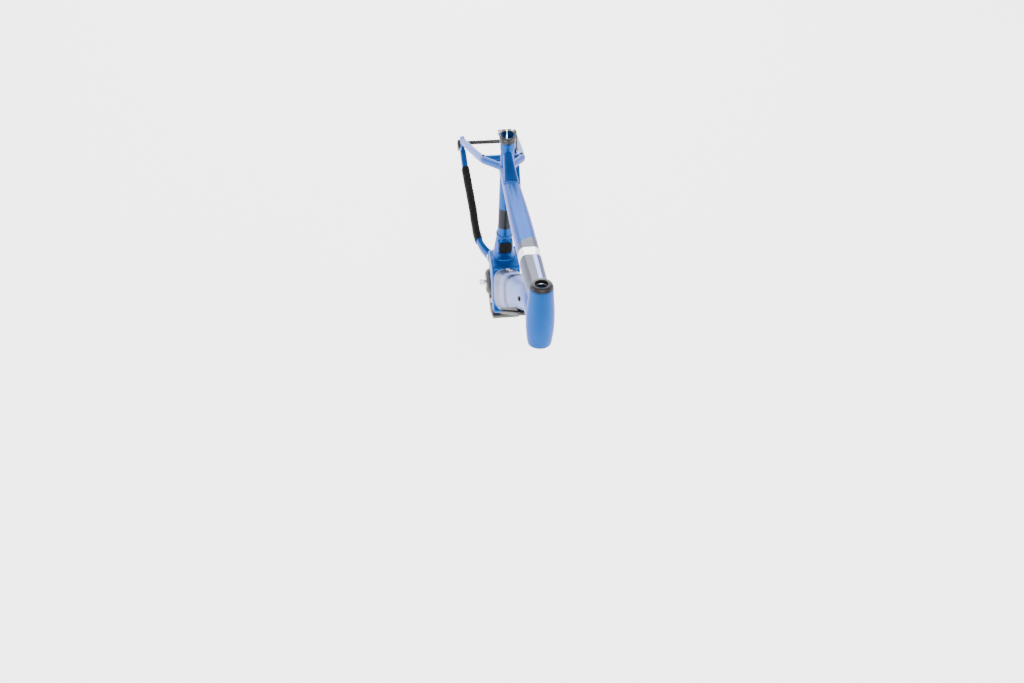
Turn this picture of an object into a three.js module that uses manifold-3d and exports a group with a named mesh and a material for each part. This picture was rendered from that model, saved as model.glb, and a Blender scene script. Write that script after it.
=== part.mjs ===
// Frame of an electric hardtail mountain bike: welded aluminium tubes round a
// mid drive unit, with a battery that swings out of the down tube.
// Millimetres. X points forward, Y to the rider's left, Z up.
// The origin is the middle of the crank spindle.

import * as THREE from 'three';
import { mergeVertices } from 'three/addons/utils/BufferGeometryUtils.js';
import Module from 'manifold-3d';

const wasm = await Module();
wasm.setup();

// ---------------------------------------------------------------- driving sizes

const GAP = 0.3;                        // air left between two pieces that touch
const SEAT_ANGLE = degrees(74);
const HEAD_ANGLE = degrees(66.9);
const SEAT_TUBE_LENGTH = 506;           // spindle to the end of the seat tube
const SEAT_POST_RADIUS = 15.8;
const HEAD_TUBE_LENGTH = 150;
const HEAD_TUBE_FOOT = inPlane(486, 540);
const REAR_AXLE = inPlane(-461, 55);
const REAR_HUB_WIDTH = 148;
const AXLE_RADIUS = 6;
const DROPOUT_THICKNESS = 11;
const BRACKET_WIDTH = 80;
const DRIVE_UNIT_WIDTH = 66;
const SPINDLE_RADIUS = 10;
const SPINDLE_LENGTH = 134;

// The straight part of the down tube is set by its lower and upper edge.
const DOWN_TUBE_LOWER_EDGE = [inPlane(110, 26), inPlane(401, 527)];
const DOWN_TUBE_UPPER_EDGE = [inPlane(13, 88), inPlane(350, 560)];

const ACROSS = new THREE.Vector3(0, 1, 0);
const seatUp = inPlane(-Math.cos(SEAT_ANGLE), Math.sin(SEAT_ANGLE));
const seatForward = inPlane(Math.sin(SEAT_ANGLE), Math.cos(SEAT_ANGLE));
const headUp = inPlane(-Math.cos(HEAD_ANGLE), Math.sin(HEAD_ANGLE));
const headForward = inPlane(Math.sin(HEAD_ANGLE), Math.cos(HEAD_ANGLE));
const downAlong = DOWN_TUBE_LOWER_EDGE[1].clone().sub(DOWN_TUBE_LOWER_EDGE[0]).normalize();
const downInward = inPlane(-downAlong.z, downAlong.x);

// -------------------------------------------------------------------- materials

const finish = (color, roughness, metalness) => (
  new THREE.MeshStandardMaterial({ color, roughness, metalness })
);
const bluePaint = finish(0x2f7fd0, 0.38, 0.6);
const blackAnodised = finish(0x1c1d20, 0.45, 0.7);
const polishedSteel = finish(0xb9bcc0, 0.28, 1);
const greyPlastic = finish(0x54565a, 0.6, 0);
const blackPlastic = finish(0x202124, 0.5, 0);
const blackRubber = finish(0x151516, 0.85, 0);
const castMagnesium = finish(0x2b2d30, 0.55, 0.5);

// ------------------------------------------------------------- points and places

function degrees(angle) {
  return (angle * Math.PI) / 180;
}

function inPlane(x, z) {
  return new THREE.Vector3(x, 0, z);
}

// A point found by going from a start along pairs of direction and distance.
function reach(start, ...legs) {
  const point = start.clone();
  for (const [direction, distance] of legs) point.addScaledVector(direction, distance);
  return point;
}

const onSeatTube = (along, forward = 0) => (
  reach(inPlane(0, 0), [seatUp, along], [seatForward, forward])
);
const onHeadTube = (along, forward = 0) => (
  reach(HEAD_TUBE_FOOT, [headUp, along], [headForward, forward])
);
// A place beside the battery: along the lower edge, then square into the tube.
const byBattery = (along, inward = 0) => (
  reach(DOWN_TUBE_LOWER_EDGE[0], [downAlong, along], [downInward, inward])
);
const mirrored = (point, hand) => new THREE.Vector3(point.x, hand * point.y, point.z);

// ------------------------------------------------------------------ solid makers

function toSolid(geometry) {
  const bare = new THREE.BufferGeometry();
  bare.setAttribute('position', geometry.getAttribute('position'));
  bare.setIndex(geometry.index);
  const merged = mergeVertices(bare, 1e-3);
  const corners = merged.getAttribute('position');
  const triangles = [];
  let volume = 0;
  const [a, b, c] = [new THREE.Vector3(), new THREE.Vector3(), new THREE.Vector3()];
  for (let i = 0; i < merged.index.count; i += 3) {
    const [p, q, r] = [0, 1, 2].map((corner) => merged.index.getX(i + corner));
    if (p === q || q === r || r === p) continue;
    triangles.push(p, q, r);
    a.fromBufferAttribute(corners, p);
    b.fromBufferAttribute(corners, q);
    c.fromBufferAttribute(corners, r);
    volume += a.dot(b.cross(c));
  }
  if (volume < 0) triangles.reverse();
  return new wasm.Manifold(new wasm.Mesh({
    numProp: 3,
    vertProperties: new Float32Array(corners.array),
    triVerts: new Uint32Array(triangles),
  }));
}

function toGeometry(solid) {
  const { vertProperties, triVerts } = solid.getMesh();
  const geometry = new THREE.BufferGeometry();
  geometry.setAttribute('position', new THREE.BufferAttribute(vertProperties, 3));
  geometry.setIndex(new THREE.BufferAttribute(triVerts, 1));
  return geometry;
}

const joined = (...solids) => solids.reduce((sum, solid) => sum.add(solid));
const cutBy = (solid, ...cutters) => cutters.reduce((rest, cutter) => rest.subtract(cutter), solid);

// A closed skin over a row of rings of equal point counts.
function loft(rings) {
  const sides = rings[0].length;
  const corners = rings.flat();
  const triangles = [];
  for (let ring = 0; ring + 1 < rings.length; ring += 1) {
    for (let side = 0; side < sides; side += 1) {
      const next = (side + 1) % sides;
      const [a, b] = [ring * sides + side, ring * sides + next];
      const [c, d] = [b + sides, a + sides];
      triangles.push(a, b, c, a, c, d);
    }
  }
  for (const [ring, facing] of [[0, -1], [rings.length - 1, 1]]) {
    const middle = corners.length;
    const centre = new THREE.Vector3();
    for (const corner of rings[ring]) centre.addScaledVector(corner, 1 / sides);
    corners.push(centre);
    for (let side = 0; side < sides; side += 1) {
      const edge = [ring * sides + side, ring * sides + ((side + 1) % sides)];
      if (facing < 0) edge.reverse();
      triangles.push(middle, ...edge);
    }
  }
  const geometry = new THREE.BufferGeometry().setFromPoints(corners);
  geometry.setIndex(triangles);
  return toSolid(geometry);
}

// A tube through stations of { at, wide, tall, square }, where square is 2 for an
// ellipse and more for a box with round corners. grow widens it all round.
function tube(stations, { grow = 0, sides = 20, steps = 10, from = 0, to = 1 } = {}) {
  const spine = new THREE.CatmullRomCurve3(stations.map((station) => station.at), false, 'centripetal');
  const rings = [];
  for (let step = 0; step <= steps; step += 1) {
    const way = from + ((to - from) * step) / steps;
    const place = way * (stations.length - 1);
    const index = Math.min(Math.floor(place), stations.length - 2);
    const [before, after] = [stations[index], stations[index + 1]];
    const blend = (name) => THREE.MathUtils.lerp(before[name], after[name], place - index);
    const [halfWide, halfTall] = ['wide', 'tall'].map((name) => blend(name) / 2 + grow);
    const power = 2 / blend('square');
    const forward = spine.getTangent(way);
    const across = new THREE.Vector3(0, 0, 1).cross(forward).normalize();
    const upward = forward.clone().cross(across);
    const centre = spine.getPoint(way);
    rings.push(Array.from({ length: sides }, (unused, side) => {
      const angle = (side / sides) * 2 * Math.PI;
      const bend = (value) => Math.sign(value) * Math.abs(value) ** power;
      const [outward, above] = [halfWide * bend(Math.cos(angle)), halfTall * bend(Math.sin(angle))];
      return reach(centre, [across, outward], [upward, above]);
    }));
  }
  return loft(rings);
}

// A turned piece: the profile is a closed loop of [radius, along], set on an axis.
function turned(profile, foot, axis, segments = 24) {
  const points = [...profile, profile[0]].map(([radius, along]) => new THREE.Vector2(radius, along));
  const geometry = new THREE.LatheGeometry(points, segments);
  const turn = new THREE.Quaternion().setFromUnitVectors(ACROSS, axis);
  geometry.applyQuaternion(turn).translate(foot.x, foot.y, foot.z);
  return toSolid(geometry);
}

const rod = (foot, axis, length, radius, segments = 16) => (
  turned([[0, 0], [radius, 0], [radius, length], [0, length]], foot, axis, segments)
);
const ring = (foot, axis, length, inner, outer, segments = 24) => (
  turned([[inner, 0], [outer, 0], [outer, length], [inner, length]], foot, axis, segments)
);

// The points of a round corner that joins the edges from before to point and from
// point to after by an arc, in steps of about 30 degrees.
function filletPoints(before, point, after, radius) {
  const [toBefore, toAfter] = [before, after].map((end) => end.clone().sub(point));
  const halfAngle = toBefore.angleTo(toAfter) / 2;
  const longest = 0.48 * Math.min(toBefore.length(), toAfter.length());
  const setback = Math.min(radius / Math.tan(halfAngle), longest);
  const entry = reach(point, [toBefore.clone().normalize(), setback]);
  const leave = reach(point, [toAfter.clone().normalize(), setback]);
  const bisector = toBefore.normalize().add(toAfter.normalize()).normalize();
  const centre = reach(point, [bisector, setback / Math.cos(halfAngle)]);
  const arms = [entry, leave].map((end) => end.clone().sub(centre));
  const sweep = arms[0].angleTo(arms[1]);
  const turn = Math.sign(arms[0].clone().cross(arms[1]).y);
  const steps = Math.max(1, Math.ceil(sweep / degrees(30)));
  return Array.from({ length: steps + 1 }, (unused, step) => (
    arms[0].clone().applyAxisAngle(ACROSS, (turn * sweep * step) / steps).add(centre)
  ));
}

// A plate parallel to the bike's middle plane, cut from an outline of side-view
// points, with its corners rounded and its edges bevelled.
function plate(outline, thickness, middle, { corner = 6, bevel = 1.5 } = {}) {
  const points = outline.flatMap((point, index) => {
    const before = outline[(index + outline.length - 1) % outline.length];
    return filletPoints(before, point, outline[(index + 1) % outline.length], corner);
  });
  const shape = new THREE.Shape(points.map((point) => new THREE.Vector2(point.x, point.z)));
  const geometry = new THREE.ExtrudeGeometry(shape, {
    depth: thickness - 2 * bevel,
    bevelThickness: bevel,
    bevelSize: bevel,
    bevelOffset: -bevel,
    bevelSegments: 2,
  });
  geometry.rotateX(Math.PI / 2).translate(0, middle + thickness / 2 - bevel, 0);
  return toSolid(geometry);
}

// A block with its length along one direction of the side view and a chosen centre.
function block(centre, along, length, wide, tall) {
  const geometry = new THREE.BoxGeometry(length, wide, tall);
  const tilt = Math.atan2(along.z, along.x);
  geometry.rotateY(-tilt).translate(centre.x, centre.y, centre.z);
  return toSolid(geometry);
}

// Moves every side of a convex outline outwards by the same distance.
function widened(outline, distance) {
  const centre = new THREE.Vector3();
  for (const point of outline) centre.addScaledVector(point, 1 / outline.length);
  const pushed = (from, to) => {
    const direction = to.clone().sub(from).normalize();
    const outward = inPlane(direction.z, -direction.x);
    if (outward.dot(from.clone().sub(centre)) < 0) outward.negate();
    return { start: reach(from, [outward, distance]), direction };
  };
  return outline.map((point, index) => {
    const first = pushed(outline[(index + outline.length - 1) % outline.length], point);
    const second = pushed(point, outline[(index + 1) % outline.length]);
    const apart = second.start.clone().sub(first.start);
    const turn = first.direction.x * second.direction.z - first.direction.z * second.direction.x;
    const travel = (apart.x * second.direction.z - apart.z * second.direction.x) / turn;
    return reach(first.start, [first.direction, travel]);
  });
}

const group = new THREE.Group();

function addPiece(name, solid, material) {
  const mesh = new THREE.Mesh(toGeometry(solid), material);
  mesh.name = name;
  group.add(mesh);
}

// -------------------------------------------------------- outlines and tube paths

const bracketOutline = [
  inPlane(-62, 20), inPlane(-64, 70), inPlane(-44, 94), inPlane(-8, 106), inPlane(29, 113),
  inPlane(122, 22), inPlane(99, 3), inPlane(62, 16), inPlane(46, 36), inPlane(0, 52), inPlane(-40, 34),
];
const driveUnitOutline = [
  inPlane(-50, -36), inPlane(-14, -66), inPlane(60, -66), inPlane(99, -26),
  inPlane(103, 6), inPlane(22, 88), inPlane(-34, 80), inPlane(-50, 50),
];

const topTubeStations = [
  { at: onSeatTube(398), wide: 40, tall: 38, square: 2.4 },
  { at: inPlane(-20, 427), wide: 44, tall: 42, square: 2.6 },
  { at: inPlane(140, 502), wide: 52, tall: 46, square: 2.7 },
  { at: inPlane(300, 576), wide: 51, tall: 52, square: 2.7 },
  { at: onHeadTube(112), wide: 48, tall: 56, square: 2.5 },
];

const seatTubeStations = [
  [40, 74, 68, 2.8], [70, 72, 64, 2.8], [92, 66, 60, 2.6], [120, 56, 54, 2.4],
  [150, 49, 51, 2.4], [174, 43, 45, 2.2], [215, 37.5, 37.5, 2], [330, 36, 36, 2],
  [462, 35, 35, 2], [468, 38, 38, 2], [490, 38, 38, 2], [491, 34.6, 34.6, 2],
  [SEAT_TUBE_LENGTH, 34.6, 34.6, 2],
].map(([along, wide, tall, square]) => ({ at: onSeatTube(along), wide, tall, square }));

// Evenly spaced stations between the two straight edges, then a bend to the head tube.
const DOWN_TUBE_WIDTHS = [75, 74, 73, 71, 68, 63];
const downTubeStations = DOWN_TUBE_WIDTHS.map((wide, index) => {
  const way = index / (DOWN_TUBE_WIDTHS.length - 1);
  const lower = DOWN_TUBE_LOWER_EDGE[0].clone().lerp(DOWN_TUBE_LOWER_EDGE[1], way);
  const upper = DOWN_TUBE_UPPER_EDGE[0].clone().lerp(DOWN_TUBE_UPPER_EDGE[1], way);
  return { at: lower.clone().lerp(upper, 0.5), wide, tall: lower.distanceTo(upper), square: 3.6 - way };
});
downTubeStations.push({ at: onHeadTube(66, -42), wide: 60, tall: 64, square: 2.5 });
downTubeStations.push({ at: onHeadTube(56, 0), wide: 56, tall: 66, square: 2.4 });

const chainstayStations = (hand) => [
  { at: mirrored(new THREE.Vector3(-441, 79.5, 54), hand), wide: 18, tall: 24, square: 2.6 },
  { at: mirrored(new THREE.Vector3(-367, 77, 50), hand), wide: 19, tall: 25, square: 2.6 },
  { at: mirrored(new THREE.Vector3(-235, 69, 48), hand), wide: 18, tall: 27, square: 2.6 },
  { at: mirrored(new THREE.Vector3(-120, 62, 47), hand), wide: 17, tall: 30, square: 2.8 },
  { at: mirrored(new THREE.Vector3(-84, 50, 46), hand), wide: 18, tall: 34, square: 2.8 },
  { at: mirrored(new THREE.Vector3(-54, 30, 45), hand), wide: 22, tall: 38, square: 2.8 },
];

const seatstayStations = (hand) => [
  { at: mirrored(new THREE.Vector3(-443, 79.5, 88), hand), wide: 16, tall: 20, square: 2.4 },
  { at: mirrored(new THREE.Vector3(-350, 71, 175), hand), wide: 17, tall: 20, square: 2.4 },
  { at: mirrored(new THREE.Vector3(-204, 55, 313), hand), wide: 18, tall: 20, square: 2.4 },
  { at: mirrored(new THREE.Vector3(-178, 51, 338), hand), wide: 18, tall: 20, square: 2.4 },
  { at: mirrored(new THREE.Vector3(-158, 39, 354), hand), wide: 18, tall: 20, square: 2.4 },
  { at: mirrored(new THREE.Vector3(-112, 10, 390), hand), wide: 17, tall: 20, square: 2.2 },
];

// Each tube has one fixed faceting, so a neighbour cut back from the grown tube
// keeps an even gap to it.
const topTubeSolid = (grow = 0) => tube(topTubeStations, { grow, sides: 16, steps: 8 });
const downTubeSolid = (grow = 0) => tube(downTubeStations, { grow, sides: 20, steps: 10 });
const seatTubeSolid = (grow = 0) => (
  tube(seatTubeStations, { grow, sides: 20, steps: seatTubeStations.length - 1 })
);
const chainstaySolid = (hand, grow = 0) => tube(chainstayStations(hand), { grow, sides: 12, steps: 8 });
const seatstaySolid = (hand, grow = 0) => tube(seatstayStations(hand), { grow, sides: 12, steps: 10 });

// ----------------------------------------------------------- welded frame: tubes

const HEAD_SEGMENTS = 28;
const HEAD_PROFILE = [[27, 0], [28, 6], [30, 20], [32, 55], [31, 95], [28, 128], [27, 150]];
const headTubeKeepOut = turned(
  [[0, 0], ...HEAD_PROFILE.map(([radius, along]) => [radius + GAP, along]), [0, HEAD_TUBE_LENGTH]],
  HEAD_TUBE_FOOT,
  headUp,
  HEAD_SEGMENTS,
);

function makeHeadTube() {
  const bore = [[21.3, 150], [21.3, 141], [19.5, 140], [19.5, 12], [26.2, 10], [26.2, 0]];
  const shell = turned([...HEAD_PROFILE, ...bore], HEAD_TUBE_FOOT, headUp, HEAD_SEGMENTS);
  addPiece('head_tube', shell, bluePaint);
}

function makeTopTube() {
  const hollow = cutBy(topTubeSolid(), topTubeSolid(-2.2));
  addPiece('top_tube', cutBy(hollow, headTubeKeepOut, seatTubeSolid(GAP)), bluePaint);
}

// The space of the bracket, closed straight across over the drive unit.
const bracketSpace = bracketOutline.slice(0, 6).concat(inPlane(30, 10));
const bracketKeepOut = plate(widened(bracketSpace, GAP), BRACKET_WIDTH + 2 * GAP, 0);

const BOTTLE_BOLT_PITCH = 64;
const downTubeTop = DOWN_TUBE_UPPER_EDGE[1].clone().sub(DOWN_TUBE_UPPER_EDGE[0]).normalize();
const downTubeTopOut = inPlane(-downTubeTop.z, downTubeTop.x);
const bottleBoltSeats = [70, 70 + BOTTLE_BOLT_PITCH].map((along) => (
  reach(DOWN_TUBE_UPPER_EDGE[0], [downTubeTop, along])
));

const BATTERY_FOOT = 68;                // along the lower edge of the down tube
const BATTERY_LENGTH = 402;
const BATTERY_WIDTH = 54;
const BATTERY_HEIGHT = 58;
const BATTERY_PIVOT = byBattery(62, 8);
const PIVOT_PIN_RADIUS = 4;
const BATTERY_DOOR_WIDTH = 58;
const LOCK_ALONG = 492;
const LOCK_INWARD = 29;
const LOCK_RADIUS = 9;
const LOCK_TRAVEL = 9;                  // the bolt rests drawn back and goes down into the battery
const CABLE_PORT = inPlane(372, 538);

const cablePortPlug = (hand, grow) => {
  const oval = new THREE.CylinderGeometry(5.5 + grow, 5.5 + grow, 9 + 2 * grow, 20);
  oval.scale(2, 1, 1).rotateY(-degrees(50)).translate(CABLE_PORT.x, hand * 30.5, CABLE_PORT.z);
  return toSolid(oval);
};

function makeDownTube() {
  const doorFoot = BATTERY_FOOT - 16;
  const doorLength = BATTERY_LENGTH + 34;
  const doorMiddle = byBattery(doorFoot + doorLength / 2);
  const door = block(doorMiddle, downAlong, doorLength, BATTERY_DOOR_WIDTH, 40);
  const boltHoles = bottleBoltSeats.map((seat) => (
    rod(reach(seat, [downTubeTopOut, -12]), downTubeTopOut, 24, 2.8, 8)
  ));
  const lockHole = rod(byBattery(LOCK_ALONG, LOCK_INWARD), ACROSS, 50, LOCK_RADIUS + GAP, 24);
  const ports = [cablePortPlug(1, GAP), cablePortPlug(-1, GAP)];
  const hollow = cutBy(downTubeSolid(), downTubeSolid(-3), door, lockHole, ...ports, ...boltHoles);
  addPiece('down_tube', cutBy(hollow, headTubeKeepOut, bracketKeepOut, topTubeSolid(GAP)), bluePaint);
}

const SOCKET_SEAT = onSeatTube(148, 16);
const PORT_FACE = 24.5;                 // flat facet for the cap, ahead of the tube axis

function makeSeatTube() {
  const bore = rod(onSeatTube(200), seatUp, SEAT_TUBE_LENGTH, SEAT_POST_RADIUS, 24);
  const slot = block(onSeatTube(SEAT_TUBE_LENGTH - 15, -18), seatUp, 34, 3, 12);
  const facet = block(onSeatTube(148, PORT_FACE + 20), seatUp, 48, 80, 40);
  const socketHole = rod(SOCKET_SEAT, seatForward, 30, 13 + GAP, 24);
  addPiece('seat_tube', cutBy(seatTubeSolid(), bore, slot, facet, socketHole, bracketKeepOut), bluePaint);
}

// A wedge that fills the corner above the top tube, level with its upper face.
const gussetStations = [
  { at: inPlane(-122, 436), wide: 24, tall: 34, square: 2.6 },
  { at: inPlane(-68, 435), wide: 31, tall: 28, square: 2.8 },
  { at: inPlane(-9, 438), wide: 41, tall: 22, square: 2.8 },
];

function makeSeatTubeGusset() {
  const wedge = tube(gussetStations, { sides: 16, steps: 4 });
  addPiece('seat_tube_gusset', cutBy(wedge, seatTubeSolid(GAP), topTubeSolid(GAP)), bluePaint);
}

// -------------------------------------------------- welded frame: bracket and stays

const DRIVE_BOLTS = [inPlane(-46, 62), inPlane(82, 34)];

function makeMotorBracket() {
  const outer = plate(bracketOutline, BRACKET_WIDTH, 0, { corner: 8, bevel: 6 });
  const room = plate(widened(driveUnitOutline, 1.5), DRIVE_UNIT_WIDTH + 2, 0, { corner: 10 });
  const under = block(inPlane(20, -20), inPlane(1, 0), 150, DRIVE_UNIT_WIDTH + 2, 60);
  const boltHoles = DRIVE_BOLTS.map((place) => rod(reach(place, [ACROSS, -60]), ACROSS, 120, 4.2, 16));
  addPiece('motor_bracket', cutBy(outer, room, under, ...boltHoles), bluePaint);
}

const rightLeft = [['right', -1], ['left', 1]];
const dropoutMiddle = REAR_HUB_WIDTH / 2 + DROPOUT_THICKNESS / 2;

const dropoutOutline = [
  inPlane(-483, 58), inPlane(-476, 36), inPlane(-452, 34), inPlane(-428, 42),
  inPlane(-428, 92), inPlane(-440, 106), inPlane(-462, 88),
];
const dropoutPlate = (hand, grow, thickness) => (
  plate(widened(dropoutOutline, grow), thickness, hand * dropoutMiddle, { corner: 9, bevel: 1 })
);

function makeDropouts() {
  for (const [side, hand] of rightLeft) {
    const hole = rod(reach(REAR_AXLE, [ACROSS, -120]), ACROSS, 240, AXLE_RADIUS + GAP, 24);
    const window = plate(
      [inPlane(-447, 62), inPlane(-432, 62), inPlane(-432, 84), inPlane(-441, 90)],
      40,
      hand * dropoutMiddle,
      { corner: 3, bevel: 0.5 },
    );
    const body = dropoutPlate(hand, 0, DROPOUT_THICKNESS);
    addPiece(`dropout_${side}`, cutBy(body, hole, window), bluePaint);
  }
}

// Stays are hollow between their solid ends, with a vent hole on the wheel side. They
// stop at the rim of the dropout, so the hub has its whole inner face.
function stay(outer, stations, hand) {
  const inner = tube(stations, { sides: 8, steps: 6, grow: -3, from: 0.16, to: 0.84 });
  const ventHole = rod(stations[1].at, ACROSS.clone().multiplyScalar(-hand), 20, 2, 8);
  return cutBy(outer, inner, ventHole, dropoutPlate(hand, GAP, 3 * DROPOUT_THICKNESS));
}

function makeChainstays() {
  for (const [side, hand] of rightLeft) {
    const tubing = stay(chainstaySolid(hand), chainstayStations(hand), hand);
    addPiece(`chainstay_${side}`, cutBy(tubing, bracketKeepOut), bluePaint);
  }
}

const EYELET_ALONG = 0.7;

function eyeletPlace(hand) {
  const [lower, upper] = [seatstayStations(hand)[2].at, seatstayStations(hand)[3].at];
  const place = lower.clone().lerp(upper, EYELET_ALONG);
  return { place, outward: inPlane(-Math.sin(degrees(43)), Math.cos(degrees(43))) };
}

function makeSeatstays() {
  for (const [side, hand] of rightLeft) {
    const { place, outward } = eyeletPlace(hand);
    const boltHole = rod(reach(place, [outward, 3]), outward, 12, 2.8, 12);
    const tubing = stay(seatstaySolid(hand), seatstayStations(hand), hand);
    const solid = cutBy(tubing, boltHole, seatTubeSolid(GAP), topTubeSolid(GAP));
    const otherSide = reach(onSeatTube(400), [ACROSS, -hand * (30 - GAP / 2)]);
    const otherHalf = block(otherSide, inPlane(1, 0), 200, 60, 200);
    addPiece(`seatstay_${side}`, cutBy(solid, otherHalf), bluePaint);
  }
}

function makeSeatstayBridge() {
  const stations = [-55, 55].map((across) => ({
    at: new THREE.Vector3(-187, across, 331), wide: 22, tall: 13, square: 2.4,
  }));
  const stays = rightLeft.map(([, hand]) => seatstaySolid(hand, GAP));
  const bar = cutBy(tube(stations, { sides: 12, steps: 2 }), ...stays);
  const between = block(inPlane(-187, 331), inPlane(1, 0), 60, 96, 60);
  addPiece('seatstay_bridge', bar.intersect(between), bluePaint);
}

// ------------------------------------------------------------ fittings at the rear

const HANGER_FACE = REAR_HUB_WIDTH / 2 + DROPOUT_THICKNESS;

function makeDerailleurHanger() {
  const outline = [
    inPlane(-471, 62), inPlane(-452, 64), inPlane(-449, 48), inPlane(-458, 20), inPlane(-476, 20),
  ];
  const holes = [[REAR_AXLE, AXLE_RADIUS + GAP], [inPlane(-466, 29), 5]].map(([centre, radius]) => (
    rod(reach(centre, [ACROSS, -120]), ACROSS, 60, radius)
  ));
  const thickness = 7;
  const middle = -(HANGER_FACE + GAP + thickness / 2);
  const body = plate(outline, thickness, middle, { corner: 5, bevel: 0.8 });
  addPiece('derailleur_hanger', cutBy(body, ...holes), blackAnodised);
}

function makeThruAxle() {
  const foot = reach(REAR_AXLE, [ACROSS, -(HANGER_FACE + 9)]);
  const headAt = HANGER_FACE + GAP;
  const shaftLength = headAt + HANGER_FACE + 9;
  const shaft = rod(foot, ACROSS, shaftLength + 1, AXLE_RADIUS, 24);
  const head = rod(reach(REAR_AXLE, [ACROSS, headAt]), ACROSS, 7, 9.5, 24);
  const socket = rod(reach(REAR_AXLE, [ACROSS, headAt + 3]), ACROSS, 10, 3, 6);
  addPiece('rear_thru_axle', cutBy(joined(shaft, head), socket), blackAnodised);
}

function makeBrakeMount() {
  const outline = [
    inPlane(-418, 72), inPlane(-356, 68), inPlane(-330, 80), inPlane(-338, 94),
    inPlane(-360, 86), inPlane(-388, 88), inPlane(-398, 118), inPlane(-414, 118),
  ];
  const middle = 64;
  const body = plate(outline, 13, middle, { corner: 4, bevel: 1 });
  const posts = [inPlane(-406, 105), inPlane(-336, 74)].map((place) => (
    rod(reach(place, [ACROSS, middle]), inPlane(0, 1), 20, 2.6, 12)
  ));
  const stays = [chainstaySolid(1, GAP), seatstaySolid(1, GAP)];
  addPiece('brake_mount', cutBy(body, ...posts, ...stays), bluePaint);
}

function makeChainstayProtector() {
  const span = { sides: 12, steps: 6 };
  const outer = tube(chainstayStations(-1), { ...span, grow: 3.4, from: 0.2, to: 0.64 });
  const inner = tube(chainstayStations(-1), { ...span, grow: 1.6, from: 0.18, to: 0.66 });
  addPiece('chainstay_protector', cutBy(outer, inner), blackRubber);
}

function makeEyeletBolts() {
  for (const [side, hand] of rightLeft) {
    const { place, outward } = eyeletPlace(hand);
    const headFoot = reach(place, [outward, 10.6]);
    const head = turned([[0, 0], [4.2, 0], [4.2, 2], [2.6, 3.4], [0, 3.4]], headFoot, outward, 16);
    const shank = rod(reach(place, [outward, 4]), outward, 7, 2.4, 12);
    addPiece(`stay_eyelet_bolt_${side}`, joined(head, shank), blackAnodised);
  }
}

// --------------------------------------------------------------- seat post clamp

const CLAMP_FOOT = 491.5;
const CLAMP_HEIGHT = 18;
const SKEWER_ALONG = CLAMP_FOOT + 7;
const SKEWER_BACK = -26;
const SKEWER_RADIUS = 3;
const LEVER_SIDE = 21;

function makeSeatClamp() {
  const collar = turned(
    [[17.7, 0], [21, 0], [22, 1.5], [22, 16.5], [21, CLAMP_HEIGHT], [17.7, CLAMP_HEIGHT]],
    onSeatTube(CLAMP_FOOT),
    seatUp,
    28,
  );
  const lug = block(onSeatTube(SKEWER_ALONG, SKEWER_BACK + 1), seatUp, 13, 26, 16);
  const bore = rod(onSeatTube(CLAMP_FOOT - 5), seatUp, 30, 17.7, 28);
  const split = block(onSeatTube(SKEWER_ALONG, -28), seatUp, 30, 4, 30);
  const axis = onSeatTube(SKEWER_ALONG, SKEWER_BACK);
  const pinHole = rod(reach(axis, [ACROSS, -30]), ACROSS, 60, SKEWER_RADIUS + GAP, 16);
  addPiece('seat_clamp_collar', cutBy(joined(collar, lug), bore, split, pinHole), blackAnodised);

  const skewer = rod(reach(axis, [ACROSS, -24]), ACROSS, 24 + LEVER_SIDE - 5.5, SKEWER_RADIUS, 16);
  addPiece('clamp_skewer', skewer, polishedSteel);
  const nut = turned(
    [[3.3, 0], [8, 0], [8.5, 3], [7.5, 8], [5, 9], [3.3, 9]],
    reach(axis, [ACROSS, -23]),
    ACROSS,
    24,
  );
  addPiece('clamp_nut', nut, polishedSteel);
}

// Closed, the lever lies beside the seat tube and points down and forward.
const leverAlong = inPlane(0.42, -0.9075);

function makeClampLever() {
  const pivot = reach(onSeatTube(SKEWER_ALONG, SKEWER_BACK), [ACROSS, LEVER_SIDE]);
  const leverUp = inPlane(-leverAlong.z, leverAlong.x);
  const barrel = rod(reach(pivot, [leverUp, -6]), leverUp, 12, 5, 20);
  const sections = [[0, 0, 8, 10], [16, 4, 5, 11], [36, 5, 4, 12], [54, 7, 3.6, 10]];
  const stations = sections.map(([along, out, wide, tall]) => ({
    at: reach(pivot, [leverAlong, along], [ACROSS, out]), wide, tall, square: 2.4,
  }));
  const arm = tube(stations, { sides: 12, steps: 6 });
  addPiece('quick_release_lever', joined(barrel, arm), blackAnodised);
}

// ----------------------------------------------------------------------- headset

function makeHeadset() {
  const bearings = [
    { name: 'upper', foot: onHeadTube(141.3), inner: 14.6, outer: 21, ball: 17.6 },
    { name: 'lower', foot: onHeadTube(1.5), inner: 19.9, outer: 25.9, ball: 22.8 },
  ];
  for (const { name, foot, inner, outer, ball } of bearings) {
    const outerRace = ring(foot, headUp, 7.5, ball + GAP / 2, outer);
    const innerRace = ring(foot, headUp, 7.5, inner, ball - GAP / 2);
    addPiece(`headset_${name}_outer_race`, outerRace, polishedSteel);
    addPiece(`headset_${name}_inner_race`, innerRace, polishedSteel);
  }
  const cover = turned(
    [[14.6, 0], [26, 0], [26.5, 2], [24, 7], [17, 9], [14.6, 9]],
    onHeadTube(HEAD_TUBE_LENGTH + GAP),
    headUp,
  );
  addPiece('headset_dust_cover', cover, blackAnodised);
}

// -------------------------------------------------------------------- drive unit

const BOSS_RADIUS = 37;
const BOSS_END = 49;

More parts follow.
